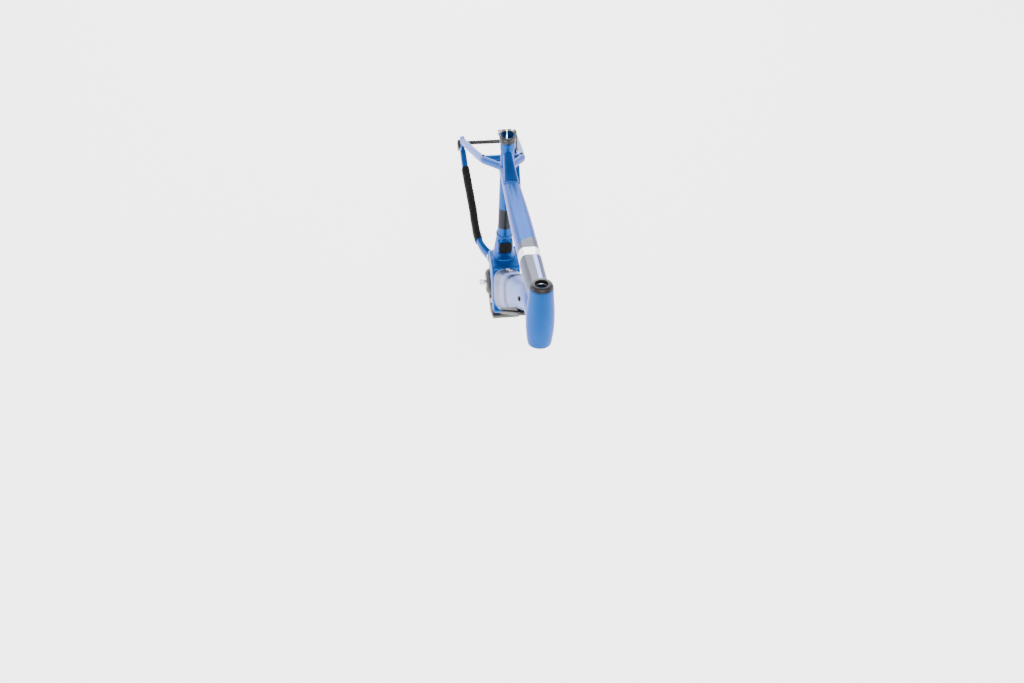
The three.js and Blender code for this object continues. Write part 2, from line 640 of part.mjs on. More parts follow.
function makeDriveUnit() {
  const half = DRIVE_UNIT_WIDTH / 2;
  for (const [side, hand] of rightLeft) {
    const outward = ACROSS.clone().multiplyScalar(hand);
    const atSpindle = (distance) => reach(inPlane(0, 0), [outward, distance]);
    const middle = (hand * (half + GAP / 2)) / 2;
    const shell = plate(driveUnitOutline, half - GAP / 2, middle, { corner: 10, bevel: 2 });
    const bossHeight = BOSS_END - half + 4;
    const bossProfile = [
      [0, 0], [BOSS_RADIUS + 1.5, 0], [BOSS_RADIUS, 13], [BOSS_RADIUS - 6, bossHeight], [0, bossHeight],
    ];
    const boss = turned(bossProfile, atSpindle(half - 4), outward, 24);
    const bore = rod(atSpindle(-5), outward, 80, SPINDLE_RADIUS + 2, 24);
    const seat = rod(atSpindle(BOSS_END - 8), outward, 20, 18 + GAP, 24);
    const threads = DRIVE_BOLTS.map((place) => (
      rod(reach(place, [outward, half - 12]), outward, 20, 3.3, 12)
    ));
    addPiece(`drive_unit_${side}_half`, cutBy(joined(shell, boss), bore, seat, ...threads), castMagnesium);

    const bearing = ring(atSpindle(BOSS_END - 8 + GAP), outward, 7, SPINDLE_RADIUS + GAP, 18);
    addPiece(`spindle_bearing_${side}`, bearing, polishedSteel);

    DRIVE_BOLTS.forEach((place, index) => {
      const face = reach(place, [outward, BRACKET_WIDTH / 2 + GAP]);
      const head = turned([[0, 0], [6.5, 0], [6.5, 3.5], [5.5, 4.5], [0, 4.5]], face, outward, 14);
      const shankLength = BRACKET_WIDTH / 2 + 11 - half;
      const shank = rod(reach(place, [outward, half - 10]), outward, shankLength, 3, 8);
      const recess = rod(reach(face, [outward, 1.5]), outward, 6, 2.9, 6);
      addPiece(`drive_unit_bolt_${side}_${index + 1}`, cutBy(joined(head, shank), recess), polishedSteel);
    });
  }
}

function makeSpindle() {
  const end = SPINDLE_LENGTH / 2;
  const foot = inPlane(0, 0).addScaledVector(ACROSS, -end);
  const profile = [
    [0, 0], [7.5, 0], [8.5, 1], [8.5, 14], [SPINDLE_RADIUS, 16], [SPINDLE_RADIUS, SPINDLE_LENGTH - 16],
    [8.5, SPINDLE_LENGTH - 14], [8.5, SPINDLE_LENGTH - 1], [7.5, SPINDLE_LENGTH], [0, SPINDLE_LENGTH],
  ];
  const shaft = turned(profile, foot, ACROSS, 24);
  const ends = [-1, 1].map((hand) => (
    rod(reach(inPlane(0, 0), [ACROSS, hand * end - 14]), ACROSS, 28, 4, 12)
  ));
  addPiece('crank_spindle', cutBy(shaft, ...ends), polishedSteel);
}

function makeMotorGuard() {
  const clearance = 0.8;
  const tray = plate(widened(driveUnitOutline, 8), BRACKET_WIDTH - 2, 0, { corner: 14, bevel: 4 });
  const roomWidth = DRIVE_UNIT_WIDTH + 2 * clearance;
  const room = plate(widened(driveUnitOutline, clearance), roomWidth, 0, { corner: 10 });
  const boss = rod(inPlane(0, 0).addScaledVector(ACROSS, -60), ACROSS, 120, BOSS_RADIUS + 4, 24);
  const edge = inPlane(168, 39).normalize();
  const aboveEdge = reach(inPlane(34, -26), [inPlane(-edge.z, edge.x), 100]);
  addPiece('motor_guard', cutBy(tray, room, boss, block(aboveEdge, edge, 400, 200, 200)), greyPlastic);
}

// ----------------------------------------------------------------------- battery

function makeBattery() {
  const middle = BATTERY_FOOT + BATTERY_LENGTH / 2;
  const corner = { corner: 5, bevel: 4 };
  const [low, high] = [0.4, BATTERY_HEIGHT + 0.4];
  const outline = [
    byBattery(BATTERY_FOOT, low), byBattery(BATTERY_FOOT + BATTERY_LENGTH, low),
    byBattery(BATTERY_FOOT + BATTERY_LENGTH, high), byBattery(BATTERY_FOOT, high),
  ];
  const body = plate(outline, BATTERY_WIDTH, 0, corner);
  const pocket = block(byBattery(BATTERY_FOOT + BATTERY_LENGTH, LOCK_INWARD), downAlong, 16, 14, 9);
  const socket = block(byBattery(BATTERY_FOOT, 37), downAlong, 16, 24, 20);
  addPiece('battery_case', cutBy(body, pocket, socket), blackPlastic);

  const coverFoot = 63;
  const coverSections = [
    [coverFoot, 50, 5], [coverFoot + 14, 62, 11], [middle, 62, 11], [476, 60, 10], [496, 48, 5],
  ];
  const coverStations = coverSections.map(([along, wide, tall]) => ({
    at: byBattery(along, -0.5 - tall / 2), wide, tall, square: 3,
  }));
  addPiece('battery_cover', tube(coverStations, { sides: 14, steps: 8 }), greyPlastic);

  const pinHalf = BATTERY_DOOR_WIDTH / 2 - GAP;
  const pin = rod(reach(BATTERY_PIVOT, [ACROSS, -pinHalf]), ACROSS, 2 * pinHalf, PIVOT_PIN_RADIUS, 16);
  addPiece('battery_pivot_pin', pin, polishedSteel);

  const plug = block(byBattery(BATTERY_FOOT - 2, 34), downAlong, 16, 22, 12);
  const carrier = block(byBattery(BATTERY_FOOT - 14, 34), downAlong, 22, 58, 30);
  addPiece('battery_connector', joined(plug, carrier), blackPlastic);
}

function makeBatteryLock() {
  const housing = block(byBattery(LOCK_ALONG, LOCK_INWARD), downAlong, 26, 42, 34);
  const channel = block(byBattery(LOCK_ALONG - 2, LOCK_INWARD), downAlong, 32, 10 + 2 * GAP, 6 + 2 * GAP);
  const keyFoot = byBattery(LOCK_ALONG, LOCK_INWARD).addScaledVector(ACROSS, 9);
  const keyWay = rod(keyFoot, ACROSS, 40, LOCK_RADIUS + GAP, 24);
  addPiece('battery_lock_housing', cutBy(housing, channel, keyWay), blackPlastic);

  const bolt = block(byBattery(LOCK_ALONG - 15.5 + LOCK_TRAVEL, LOCK_INWARD), downAlong, 25, 10, 6);
  addPiece('battery_lock_bolt', bolt, polishedSteel);

  const foot = reach(keyFoot, [ACROSS, GAP]);
  const cylinder = rod(foot, ACROSS, 24, LOCK_RADIUS, 24);
  const keySlot = block(reach(foot, [ACROSS, 24]), downAlong, 9, 8, 2);
  addPiece('battery_lock_cylinder', cutBy(cylinder, keySlot), polishedSteel);
}

// ------------------------------------------------------------------ small fittings

function makeCablePorts() {
  for (const [side, hand] of rightLeft) {
    const outward = ACROSS.clone().multiplyScalar(hand);
    const hose = rod(reach(CABLE_PORT, [outward, 20]), outward, 30, 3, 14);
    addPiece(`cable_port_${side}`, cutBy(cablePortPlug(hand, 0), hose), blackRubber);
  }
}

function makeBottleBolts() {
  bottleBoltSeats.forEach((seat, index) => {
    const headFoot = reach(seat, [downTubeTopOut, 0.5]);
    const head = turned([[0, 0], [4.6, 0], [4.6, 1.6], [3, 3.6], [0, 3.6]], headFoot, downTubeTopOut, 14);
    const shank = rod(reach(seat, [downTubeTopOut, -9]), downTubeTopOut, 10, 2.4, 8);
    addPiece(`bottle_bolt_${index + 1}`, joined(head, shank), polishedSteel);
  });
}

const CAP_FOOT = 131;
const CAP_LENGTH = 34;
const CAP_WIDTH = 36;

function makeChargePort() {
  const socket = rod(reach(SOCKET_SEAT, [seatForward, GAP]), seatForward, 8, 13, 24);
  const contacts = rod(reach(SOCKET_SEAT, [seatForward, 3]), seatForward, 10, 8, 16);
  addPiece('charge_socket', cutBy(socket, contacts), blackPlastic);

  const shape = new THREE.Shape();
  const [halfWide, halfTall, corner] = [CAP_WIDTH / 2, CAP_LENGTH / 2, 8];
  shape.moveTo(-halfWide + corner, -halfTall);
  shape.lineTo(halfWide - corner, -halfTall);
  shape.quadraticCurveTo(halfWide, -halfTall, halfWide, -halfTall + corner);
  shape.lineTo(halfWide, halfTall - corner);
  shape.quadraticCurveTo(halfWide, halfTall, halfWide - corner, halfTall);
  shape.lineTo(-halfWide + corner, halfTall);
  shape.quadraticCurveTo(-halfWide, halfTall, -halfWide, halfTall - corner);
  shape.lineTo(-halfWide, -halfTall + corner);
  shape.quadraticCurveTo(-halfWide, -halfTall, -halfWide + corner, -halfTall);
  const cap = new THREE.ExtrudeGeometry(shape, {
    depth: 2, bevelThickness: 2, bevelSize: 2, bevelOffset: -2, bevelSegments: 2, curveSegments: 5,
  });
  cap.translate(0, 0, 2);
  const turn = new THREE.Matrix4().makeBasis(ACROSS, seatUp, seatForward);
  const seat = onSeatTube(CAP_FOOT + halfTall, PORT_FACE + GAP);
  cap.applyMatrix4(turn).translate(seat.x, seat.y, seat.z);
  addPiece('charge_port_cap', toSolid(cap), blackRubber);
}

makeHeadTube();
makeTopTube();
makeDownTube();
makeSeatTube();
makeSeatTubeGusset();
makeMotorBracket();
makeDropouts();
makeChainstays();
makeSeatstays();
makeSeatstayBridge();
makeDerailleurHanger();
makeThruAxle();
makeBrakeMount();
makeChainstayProtector();
makeEyeletBolts();
makeSeatClamp();
makeClampLever();
makeHeadset();
makeDriveUnit();
makeSpindle();
makeMotorGuard();
makeBattery();
makeBatteryLock();
makeCablePorts();
makeBottleBolts();
makeChargePort();

export default group;
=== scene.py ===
# Looks of an electric hardtail bicycle frame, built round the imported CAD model.
# Lengths are written in millimetres and turned into metres when a mesh is made.
# X points forward, Y to the rider's left, Z up, and the crank spindle is the origin.
import math

import bmesh
import bpy
from mathutils import Matrix, Vector, noise
from mathutils.bvhtree import BVHTree


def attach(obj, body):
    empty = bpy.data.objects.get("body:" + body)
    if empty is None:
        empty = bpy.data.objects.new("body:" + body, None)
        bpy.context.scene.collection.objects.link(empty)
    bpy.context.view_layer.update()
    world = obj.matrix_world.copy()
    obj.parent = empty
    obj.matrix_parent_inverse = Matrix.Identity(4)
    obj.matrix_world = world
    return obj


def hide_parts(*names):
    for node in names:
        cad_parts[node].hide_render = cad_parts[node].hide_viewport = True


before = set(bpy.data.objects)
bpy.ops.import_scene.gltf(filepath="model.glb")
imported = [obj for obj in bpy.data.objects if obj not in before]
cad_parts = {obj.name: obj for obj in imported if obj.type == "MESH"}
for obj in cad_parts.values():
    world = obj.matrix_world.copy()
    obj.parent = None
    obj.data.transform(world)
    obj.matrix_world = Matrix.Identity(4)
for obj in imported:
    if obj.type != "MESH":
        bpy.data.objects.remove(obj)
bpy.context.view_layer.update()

MM = 0.001

# ------------------------------------------------------------------ the camera

CAMERA_PLACE = Vector((1.6097, -0.3230, 2.6954))
CAMERA_RIGHT = Vector((0.10917, 0.99200, 0.06340))
CAMERA_UP = Vector((-0.86085, 0.06246, 0.50502))
LENS = 38.57
FRAMING_SHIFT = -0.0443


def make_camera():
    data = bpy.data.cameras.new("camera")
    data.lens = LENS
    data.sensor_width = 36
    data.shift_y = FRAMING_SHIFT
    camera = bpy.data.objects.new("camera", data)
    bpy.context.scene.collection.objects.link(camera)
    back = CAMERA_RIGHT.cross(CAMERA_UP).normalized()
    up = back.cross(CAMERA_RIGHT).normalized()
    turn = Matrix((CAMERA_RIGHT.normalized(), up, back)).transposed()
    camera.matrix_world = Matrix.Translation(CAMERA_PLACE) @ turn.to_4x4()
    bpy.context.scene.camera = camera


make_camera()

# --------------------------------------------------------- sizes and directions

ACROSS = Vector((0, 1, 0))


def in_plane(x, z):
    return Vector((x, 0, z))


def reach(start, *legs):
    """Goes from start along pairs of direction and distance."""
    point = start.copy()
    for direction, distance in legs:
        point += direction * distance
    return point


SEAT_ANGLE = math.radians(74)
HEAD_ANGLE = math.radians(66.9)
seat_up = in_plane(-math.cos(SEAT_ANGLE), math.sin(SEAT_ANGLE))
seat_forward = in_plane(math.sin(SEAT_ANGLE), math.cos(SEAT_ANGLE))
head_up = in_plane(-math.cos(HEAD_ANGLE), math.sin(HEAD_ANGLE))
head_forward = in_plane(math.sin(HEAD_ANGLE), math.cos(HEAD_ANGLE))
HEAD_FOOT = in_plane(486, 540)
SEAT_TUBE_LENGTH = 506
SEAT_POST_RADIUS = 15.8
HEAD_TUBE_LENGTH = 150
REAR_AXLE = in_plane(-461, 55)
AXLE_HOLE_RADIUS = 6.3
DROPOUT_MIDDLE = 79.5
DROPOUT_THICKNESS = 11
BRACKET_WIDTH = 80
LOWER_EDGE = [in_plane(110, 26), in_plane(401, 527)]
UPPER_EDGE = [in_plane(13, 88), in_plane(350, 560)]
down_along = (LOWER_EDGE[1] - LOWER_EDGE[0]).normalized()
down_inward = in_plane(-down_along.z, down_along.x)
down_top = (UPPER_EDGE[1] - UPPER_EDGE[0]).normalized()
down_top_out = in_plane(-down_top.z, down_top.x)
RIGHT_LEFT = [("right", -1), ("left", 1)]


def on_seat_tube(along, forward=0):
    return reach(Vector(), (seat_up, along), (seat_forward, forward))


def on_head_tube(along, forward=0):
    return reach(HEAD_FOOT, (head_up, along), (head_forward, forward))


def by_battery(along, inward=0):
    return reach(LOWER_EDGE[0], (down_along, along), (down_inward, inward))


def mirrored(point, hand):
    return Vector((point[0], hand * point[1], point[2]))


# ------------------------------------------------------------------ mesh makers


def mesh_from(corners, faces, name="part"):
    mesh = bpy.data.meshes.new(name)
    mesh.from_pydata([Vector(corner) * MM for corner in corners], [], faces)
    work = bmesh.new()
    work.from_mesh(mesh)
    bmesh.ops.remove_doubles(work, verts=work.verts, dist=1e-6)
    bmesh.ops.recalc_face_normals(work, faces=work.faces)
    work.to_mesh(mesh)
    work.free()
    return mesh


def skin(rings, capped=True, looped=False):
    """A mesh over a row of rings with equal point counts."""
    sides = len(rings[0])
    corners = [point for ring in rings for point in ring]
    faces = []
    last = len(rings) if looped else len(rings) - 1
    for ring in range(last):
        above = (ring + 1) % len(rings)
        for side in range(sides):
            turn = (side + 1) % sides
            faces.append((
                ring * sides + side, ring * sides + turn,
                above * sides + turn, above * sides + side,
            ))
    if capped and not looped:
        faces.append(tuple(range(sides))[::-1])
        faces.append(tuple((len(rings) - 1) * sides + side for side in range(sides)))
    return mesh_from(corners, faces)


def eased(values, place):
    """Smooth value at a place counted in stations (a Catmull-Rom curve)."""
    index = min(int(place), len(values) - 2)
    way = place - index
    before, after = values[index], values[index + 1]
    first = values[index - 1] if index > 0 else before * 2 - after
    last = values[index + 2] if index + 2 < len(values) else after * 2 - before
    leave, arrive = (after - first) / 2, (last - before) / 2
    bend = (before - after) * 2 + leave + arrive
    return before + leave * way + (after * 3 - before * 3 - leave * 2 - arrive) * way**2 + bend * way**3


def spine_point(points, way):
    """Point on a centripetal Catmull-Rom curve, the way the CAD tubes run."""
    place = way * (len(points) - 1)
    index = min(int(place), len(points) - 2)
    weight = place - index
    p1, p2 = points[index], points[index + 1]
    p0 = points[index - 1] if index > 0 else p1 * 2 - p2
    p3 = points[index + 2] if index + 2 < len(points) else p2 * 2 - p1
    d0, d1, d2 = [max((b - a).length, 1e-6) ** 0.5 for a, b in ((p0, p1), (p1, p2), (p2, p3))]
    leave = ((p1 - p0) / d0 - (p2 - p0) / (d0 + d1) + (p2 - p1) / d1) * d1
    arrive = ((p2 - p1) / d1 - (p3 - p1) / (d1 + d2) + (p3 - p2) / d2) * d1
    bend = (p1 - p2) * 2 + leave + arrive
    return p1 + leave * weight + (p2 * 3 - p1 * 3 - leave * 2 - arrive) * weight**2 + bend * weight**3


def tube_rings(stations, sides=64, steps=60, grow=0, start=0, end=1, shape=None):
    """Rings along stations of (point, wide, tall, square), like the CAD tubes.
    shape(way, angle, wide, tall) may change a ring point's offsets."""
    points = [station[0] for station in stations]
    rings = []
    for step in range(steps + 1):
        way = start + (end - start) * step / steps
        place = way * (len(stations) - 1)
        wide, tall, square = [
            eased([station[column] for station in stations], place) for column in (1, 2, 3)
        ]
        ahead, behind = min(way + 0.002, 1), max(way - 0.002, 0)
        forward = (spine_point(points, ahead) - spine_point(points, behind)).normalized()
        across = Vector((0, 0, 1)).cross(forward).normalized()
        upward = forward.cross(across)
        centre = spine_point(points, way)
        ring = []
        for side in range(sides):
            angle = side / sides * 2 * math.pi
            out = (wide / 2 + grow) * rounded(math.cos(angle), 2 / square)
            up = (tall / 2 + grow) * rounded(math.sin(angle), 2 / square)
            if shape:
                out, up = shape(way, angle, out, up)
            ring.append(reach(centre, (across, out), (upward, up)))
        rings.append(ring)
    return rings


def rounded(value, power):
    return math.copysign(abs(value) ** power, value)


def tube(stations, **options):
    return skin(tube_rings(stations, **options))


def turned(profile, foot, axis, segments=64, flutes=0, depth=0.0):
    """A turned piece: profile is a closed loop of (radius, along) pairs. Flutes are
    lengthwise grooves, cut where a profile point has a third value of True."""
    side = axis.orthogonal().normalized()
    other = axis.cross(side)
    corners, faces = [], []
    for radius, along, *fluted in profile:
        for step in range(segments):
            angle = step / segments * 2 * math.pi
            groove = depth * max(0.0, math.cos(flutes * angle)) ** 2 if fluted else 0.0
            arm = side * math.cos(angle) + other * math.sin(angle)
            corners.append(reach(foot, (axis, along), (arm, radius - groove)))
    count = len(profile)
    for index in range(count):
        above = (index + 1) % count
        if profile[index][0] == 0 and profile[above][0] == 0:
            continue
        for step in range(segments):
            turn = (step + 1) % segments
            faces.append((
                index * segments + step, index * segments + turn,
                above * segments + turn, above * segments + step,
            ))
    return mesh_from(corners, faces)


def rod(foot, axis, length, radius, segments=48, edge=0.0):
    """A round bar. edge is the width of the bevel round both ends."""
    profile = [(0, 0), (radius, 0), (radius, length), (0, length)]
    if edge:
        profile = [
            (0, 0), (radius - edge, 0), (radius, edge),
            (radius, length - edge), (radius - edge, length), (0, length),
        ]
    return turned(profile, foot, axis, segments)


def arc_corner(before, point, after, radius, steps=6):
    """Points of the arc that rounds one corner of an outline."""
    to_before, to_after = (before - point), (after - point)
    half = to_before.angle(to_after) / 2
    setback = min(radius / math.tan(half), 0.48 * min(to_before.length, to_after.length))
    entry = point + to_before.normalized() * setback
    leave = point + to_after.normalized() * setback
    middle = (to_before.normalized() + to_after.normalized()).normalized()
    centre = point + middle * (setback / math.cos(half))
    arms = [entry - centre, leave - centre]
    sweep = arms[0].angle(arms[1])
    turn = math.copysign(1, arms[0].cross(arms[1]).y)
    return [
        centre + Matrix.Rotation(turn * sweep * step / steps, 3, ACROSS) @ arms[0]
        for step in range(steps + 1)
    ]


def plate(outline, thickness, middle, corner=6, bevel=1.5):
    """A plate parallel to the bike's middle plane, with round corners and edges."""
    count = len(outline)
    points = []
    for index, point in enumerate(outline):
        points += arc_corner(outline[index - 1], point, outline[(index + 1) % count], corner)
    low, high = middle - thickness / 2, middle + thickness / 2
    rings = [[reach(point, (ACROSS, level)) for point in points] for level in (low, high)]
    return rounded_edges(skin(rings), bevel, math.radians(40)) if bevel else skin(rings)


def block(centre, along, length, wide, tall, bevel=0.0):
    """A box whose length runs along a direction in the bike's middle plane."""
    half_up = in_plane(-along.z, along.x) * tall / 2
    half_across = ACROSS * wide / 2
    rings = []
    for end in (-1, 1):
        middle = centre + along * end * length / 2
        rings.append([
            middle + half_across * a + half_up * b for a, b in ((-1, -1), (1, -1), (1, 1), (-1, 1))
        ])
    mesh = skin(rings)
    return rounded_edges(mesh, bevel, math.radians(30)) if bevel else mesh


def with_modifiers(mesh, *makers):
    """A new mesh: the old one with modifiers applied. Each maker adds one modifier."""
    holder = bpy.data.objects.new("holder", mesh)
    bpy.context.scene.collection.objects.link(holder)
    for maker in makers:
        maker(holder)
    bpy.context.view_layer.update()
    evaluated = holder.evaluated_get(bpy.context.evaluated_depsgraph_get())
    made = bpy.data.meshes.new_from_object(evaluated)
    bpy.data.objects.remove(holder)
    return made


def rounded_edges(mesh, width, angle, segments=3):
    def add(holder):
        bevel = holder.modifiers.new("bevel", "BEVEL")
        bevel.width = width * MM
        bevel.segments = segments
        bevel.limit_method = "ANGLE"
        bevel.angle_limit = angle

    return with_modifiers(mesh, add)


def combined(mesh, operation, others):
    """mesh after a boolean with each of the other meshes."""
    helpers = []
    for other in others:
        helper = bpy.data.objects.new("helper", other)
        bpy.context.scene.collection.objects.link(helper)
        helpers.append(helper)

    def adder(helper):
        def add(holder):
            modifier = holder.modifiers.new("boolean", "BOOLEAN")
            modifier.operation = operation
            modifier.solver = "MANIFOLD"
            modifier.object = helper

        return add

    made = with_modifiers(mesh, *[adder(helper) for helper in helpers])
    for helper in helpers:
        bpy.data.objects.remove(helper)
    return made


def cut(mesh, *others):
    return combined(mesh, "DIFFERENCE", others)


def joined(mesh, *others):
    return combined(mesh, "UNION", others)


def melted(mesh, voxel, rounds):
    """Blends the inner corners of a mesh, the way a forging or casting is blended."""

    def remesh(holder):
        modifier = holder.modifiers.new("remesh", "REMESH")
        modifier.mode = "VOXEL"
        modifier.voxel_size = voxel * MM

    def smooth(holder):
        modifier = holder.modifiers.new("smooth", "SMOOTH")
        modifier.factor = 0.6
        modifier.iterations = rounds

    return with_modifiers(mesh, remesh, smooth)


SHARP = math.radians(38)
BLUNT = math.radians(50)


def add_piece(name, mesh, material, node=None, body="frame", sharp=SHARP):
    """Shows a mesh as a named piece that rides on a CAD body, in place of a node."""
    mesh.name = name
    for face in mesh.polygons:
        face.use_smooth = True
    mesh.set_sharp_from_angle(angle=sharp)
    mesh.materials.clear()
    mesh.materials.append(material)
    piece = bpy.data.objects.new(name, mesh)
    bpy.context.scene.collection.objects.link(piece)
    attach(piece, body)
    if node:
        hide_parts(node)


# -------------------------------------------------------------------- materials


class Paintbox:
    """Builds one node material round a Principled shader."""

    def __init__(self, name, **constants):
        self.material = bpy.data.materials.new(name)
        self.material.use_nodes = True
        self.tree = self.material.node_tree
        self.shader = next(node for node in self.tree.nodes if node.type == "BSDF_PRINCIPLED")
        for socket, value in constants.items():
            self.shader.inputs[socket.replace("_", " ")].default_value = value
        coordinates = self.tree.nodes.new("ShaderNodeTexCoord")
        self.place = coordinates.outputs["Object"]

    def plug(self, socket, value):
        if isinstance(value, bpy.types.NodeSocket):
            self.tree.links.new(value, socket)
        else:
            socket.default_value = value

    def math(self, operation, first, second=0.0, third=None, clamp=False):
        node = self.tree.nodes.new("ShaderNodeMath")
        node.operation = operation
        node.use_clamp = clamp
        self.plug(node.inputs[0], first)
        self.plug(node.inputs[1], second)
        if third is not None:
            self.plug(node.inputs[2], third)
        return node.outputs[0]

    def along(self, direction, start):
        """Distance in millimetres along a direction from a start point."""
        dot = self.tree.nodes.new("ShaderNodeVectorMath")
        dot.operation = "DOT_PRODUCT"
        self.plug(dot.inputs[0], self.place)
        dot.inputs[1].default_value = direction
        offset = direction.dot(start)
        return self.math("MULTIPLY_ADD", dot.outputs["Value"], 1 / MM, -offset)

    def step_up(self, value, level, softness=0.6):
        """0 below a level and 1 above it, with a soft edge in millimetres."""
        return self.math("MULTIPLY_ADD", self.math("SUBTRACT", value, level), 1 / softness, 0.5, clamp=True)

    def band(self, value, low, high, softness=0.6):
        rise = self.step_up(value, low, softness)
        fall = self.step_up(value, high, softness)
        return self.math("MULTIPLY", rise, self.math("SUBTRACT", 1.0, fall))

    def mix(self, factor, first, second):
        node = self.tree.nodes.new("ShaderNodeMix")
        node.data_type = "RGBA"
        self.plug(node.inputs["Factor"], factor)
        self.plug(node.inputs["A"], first)
        self.plug(node.inputs["B"], second)
        return node.outputs["Result"]

    def noise(self, scale, detail=3.0, roughness=0.55, stretch=None):
        node = self.tree.nodes.new("ShaderNodeTexNoise")
        node.inputs["Scale"].default_value = scale
        node.inputs["Detail"].default_value = detail
        node.inputs["Roughness"].default_value = roughness
        place = self.place
        if stretch:
            mapping = self.tree.nodes.new("ShaderNodeMapping")
            mapping.inputs["Scale"].default_value = stretch
            self.plug(mapping.inputs["Vector"], place)
            place = mapping.outputs["Vector"]
        self.plug(node.inputs["Vector"], place)
        return node.outputs["Fac"]

    def cells(self, scale, feature="F1"):
        node = self.tree.nodes.new("ShaderNodeTexVoronoi")
        node.feature = feature
        node.inputs["Scale"].default_value = scale
        self.plug(node.inputs["Vector"], self.place)
        return node.outputs["Distance"]

    def spread(self, value, low, high):
        """Maps the middle of a noise to a range."""
        node = self.tree.nodes.new("ShaderNodeMapRange")
        self.plug(node.inputs["Value"], value)
        node.inputs["From Min"].default_value = 0.3
        node.inputs["From Max"].default_value = 0.7
        node.inputs["To Min"].default_value = low
        node.inputs["To Max"].default_value = high
        return node.outputs["Result"]

    def bumps(self, *layers):
        """Each layer is (height, strength, distance in millimetres)."""
        normal = None
        for height, strength, distance in layers:
            node = self.tree.nodes.new("ShaderNodeBump")
            node.inputs["Strength"].default_value = strength
            node.inputs["Distance"].default_value = distance * MM
            self.plug(node.inputs["Height"], height)
            if normal is not None:
                self.plug(node.inputs["Normal"], normal)
            normal = node.outputs["Normal"]
        self.plug(self.shader.inputs["Normal"], normal)

    def colour(self, value):
        self.plug(self.shader.inputs["Base Color"], value)

    def rough(self, value):
        self.plug(self.shader.inputs["Roughness"], value)


AZURE = (0.001, 0.066, 0.265, 1)
DEEP_AZURE = (0.001, 0.038, 0.175, 1)
FLAKE_BLUE = (0.01, 0.16, 0.56, 1)
SOFT_GREY = (0.10, 0.10, 0.105, 1)
CHARCOAL = (0.016, 0.016, 0.017, 1)
LABEL_WHITE = (0.93, 0.93, 0.93, 1)
BEIGE_PAINTED_HIGHLIGHT = (0.62, 0.58, 0.50, 1)
LAVENDER = (0.26, 0.32, 0.70, 1)
PALE_EDGE = (0.48, 0.56, 1.0, 1)
SLANT_BLUE = (0.26, 0.32, 0.62, 1)


def paint(name, zones=None, quiet=None):
    """Pearl blue that turns pale where it is seen at a slant. zones(box) gives pairs
    of mask and colour laid over it, and quiet(box) a mask where the pearl is weaker."""
    box = Paintbox(
        name, Metallic=0.72, Coat_Weight=0.14, Coat_Roughness=0.25, Coat_IOR=1.45,
        Sheen_Roughness=0.35, Sheen_Tint=PALE_EDGE, Specular_Tint=SLANT_BLUE,
    )
    slant = box.tree.nodes.new("ShaderNodeLayerWeight")
    slant.inputs["Blend"].default_value = 0.5
    pearl = box.math("MULTIPLY_ADD", slant.outputs["Facing"], 2.6, -0.62, clamp=True)
    pearl = box.math("MULTIPLY", pearl, 0.5)
    # quiet damps the sheen in a band; on the top tube this paints a darker reflection along its middle
    if quiet:
        pearl = box.math("MULTIPLY", pearl, quiet(box))
    flakes = box.spread(box.cells(1900), 0.0, 1.0)
    clouds = box.noise(9, 2)
    blue = box.mix(box.spread(clouds, 0.1, 0.9), DEEP_AZURE, AZURE)
    blue = box.mix(box.math("MULTIPLY", flakes, 0.22), blue, FLAKE_BLUE)
    dust = box.spread(box.noise(60, 6, 0.7), -0.14, 0.05)
    scratches = box.spread(box.noise(40, 2, 0.4, stretch=(0.6, 9, 9)), 0.0, 1.0)
    for mask, colour in zones(box) if zones else []:
        blue = box.mix(mask, blue, colour)
        pearl = box.math("MULTIPLY", pearl, box.math("SUBTRACT", 1.0, mask))
    box.plug(box.shader.inputs["Sheen Weight"], pearl)
    box.colour(box.mix(box.math("MAXIMUM", dust, 0.0), blue, (0.34, 0.36, 0.40, 1)))
    box.rough(box.math("MULTIPLY_ADD", scratches, 0.07, box.spread(clouds, 0.30, 0.37)))
    box.bumps((box.noise(420, 2), 0.10, 0.12), (scratches, 0.05, 0.05))
    return box.material


def seat_tube_zones(box):
    along = box.along(seat_up, Vector())
    edge_wear = box.math("MULTIPLY_ADD", box.noise(300, 2), 0.8, along)
    return [(box.band(edge_wear, 208.4, 274.4), CHARCOAL)]


BAND_START = 302


def top_tube_zones(box):
    """A grey patch with a curved rear edge, a white band, then grey up to the head."""
    forward = in_plane(math.cos(math.radians(24)), math.sin(math.radians(24)))
    along = box.along(forward, in_plane(0, 436))
    side = box.along(ACROSS, Vector())
    from_left = box.math("MULTIPLY_ADD", side, -1 / 52, 0.5, clamp=True)
    quadrant = box.math("SQRT", box.math("SUBTRACT", 1.0, box.math("MULTIPLY", from_left, from_left)))
    curve = box.math("MULTIPLY_ADD", quadrant, -46.0, BAND_START)
    past_curve = box.step_up(box.math("SUBTRACT", along, curve), 0.0)
    stripe = box.math("MULTIPLY", box.band(side, 3.0, 12.0), box.step_up(along, BAND_START + 32))
    return [
        (past_curve, SOFT_GREY),
        (box.band(along, BAND_START, BAND_START + 32), LABEL_WHITE),
        (stripe, LAVENDER),
    ]


def top_tube_painted_dark_reflection(box):
    # A band along the middle of the top tube where the sheen drops by three quarters: a painted darker
    # reflection, not a print.
    side = box.along(ACROSS, Vector())
    return box.math("MULTIPLY_ADD", box.band(side, -6, 6, 14), -0.75, 1.0)


def down_tube_zones(box):
    """A grey block with slanted ends low on the tube, and beside it a beige line that is a painted edge
    highlight.
    """
    along = box.along(down_top, UPPER_EDGE[0])
    side = box.along(ACROSS, Vector())
    slant = box.math("MULTIPLY_ADD", side, 0.9, along)
    return [
        (box.band(slant, 34, 158), SOFT_GREY),
        # painted highlight: a thin beige line standing in for the edge highlight beside the grey block
        (box.band(slant, 158, 163), BEIGE_PAINTED_HIGHLIGHT),
        (box.band(slant, 236, 300), CHARCOAL),
    ]


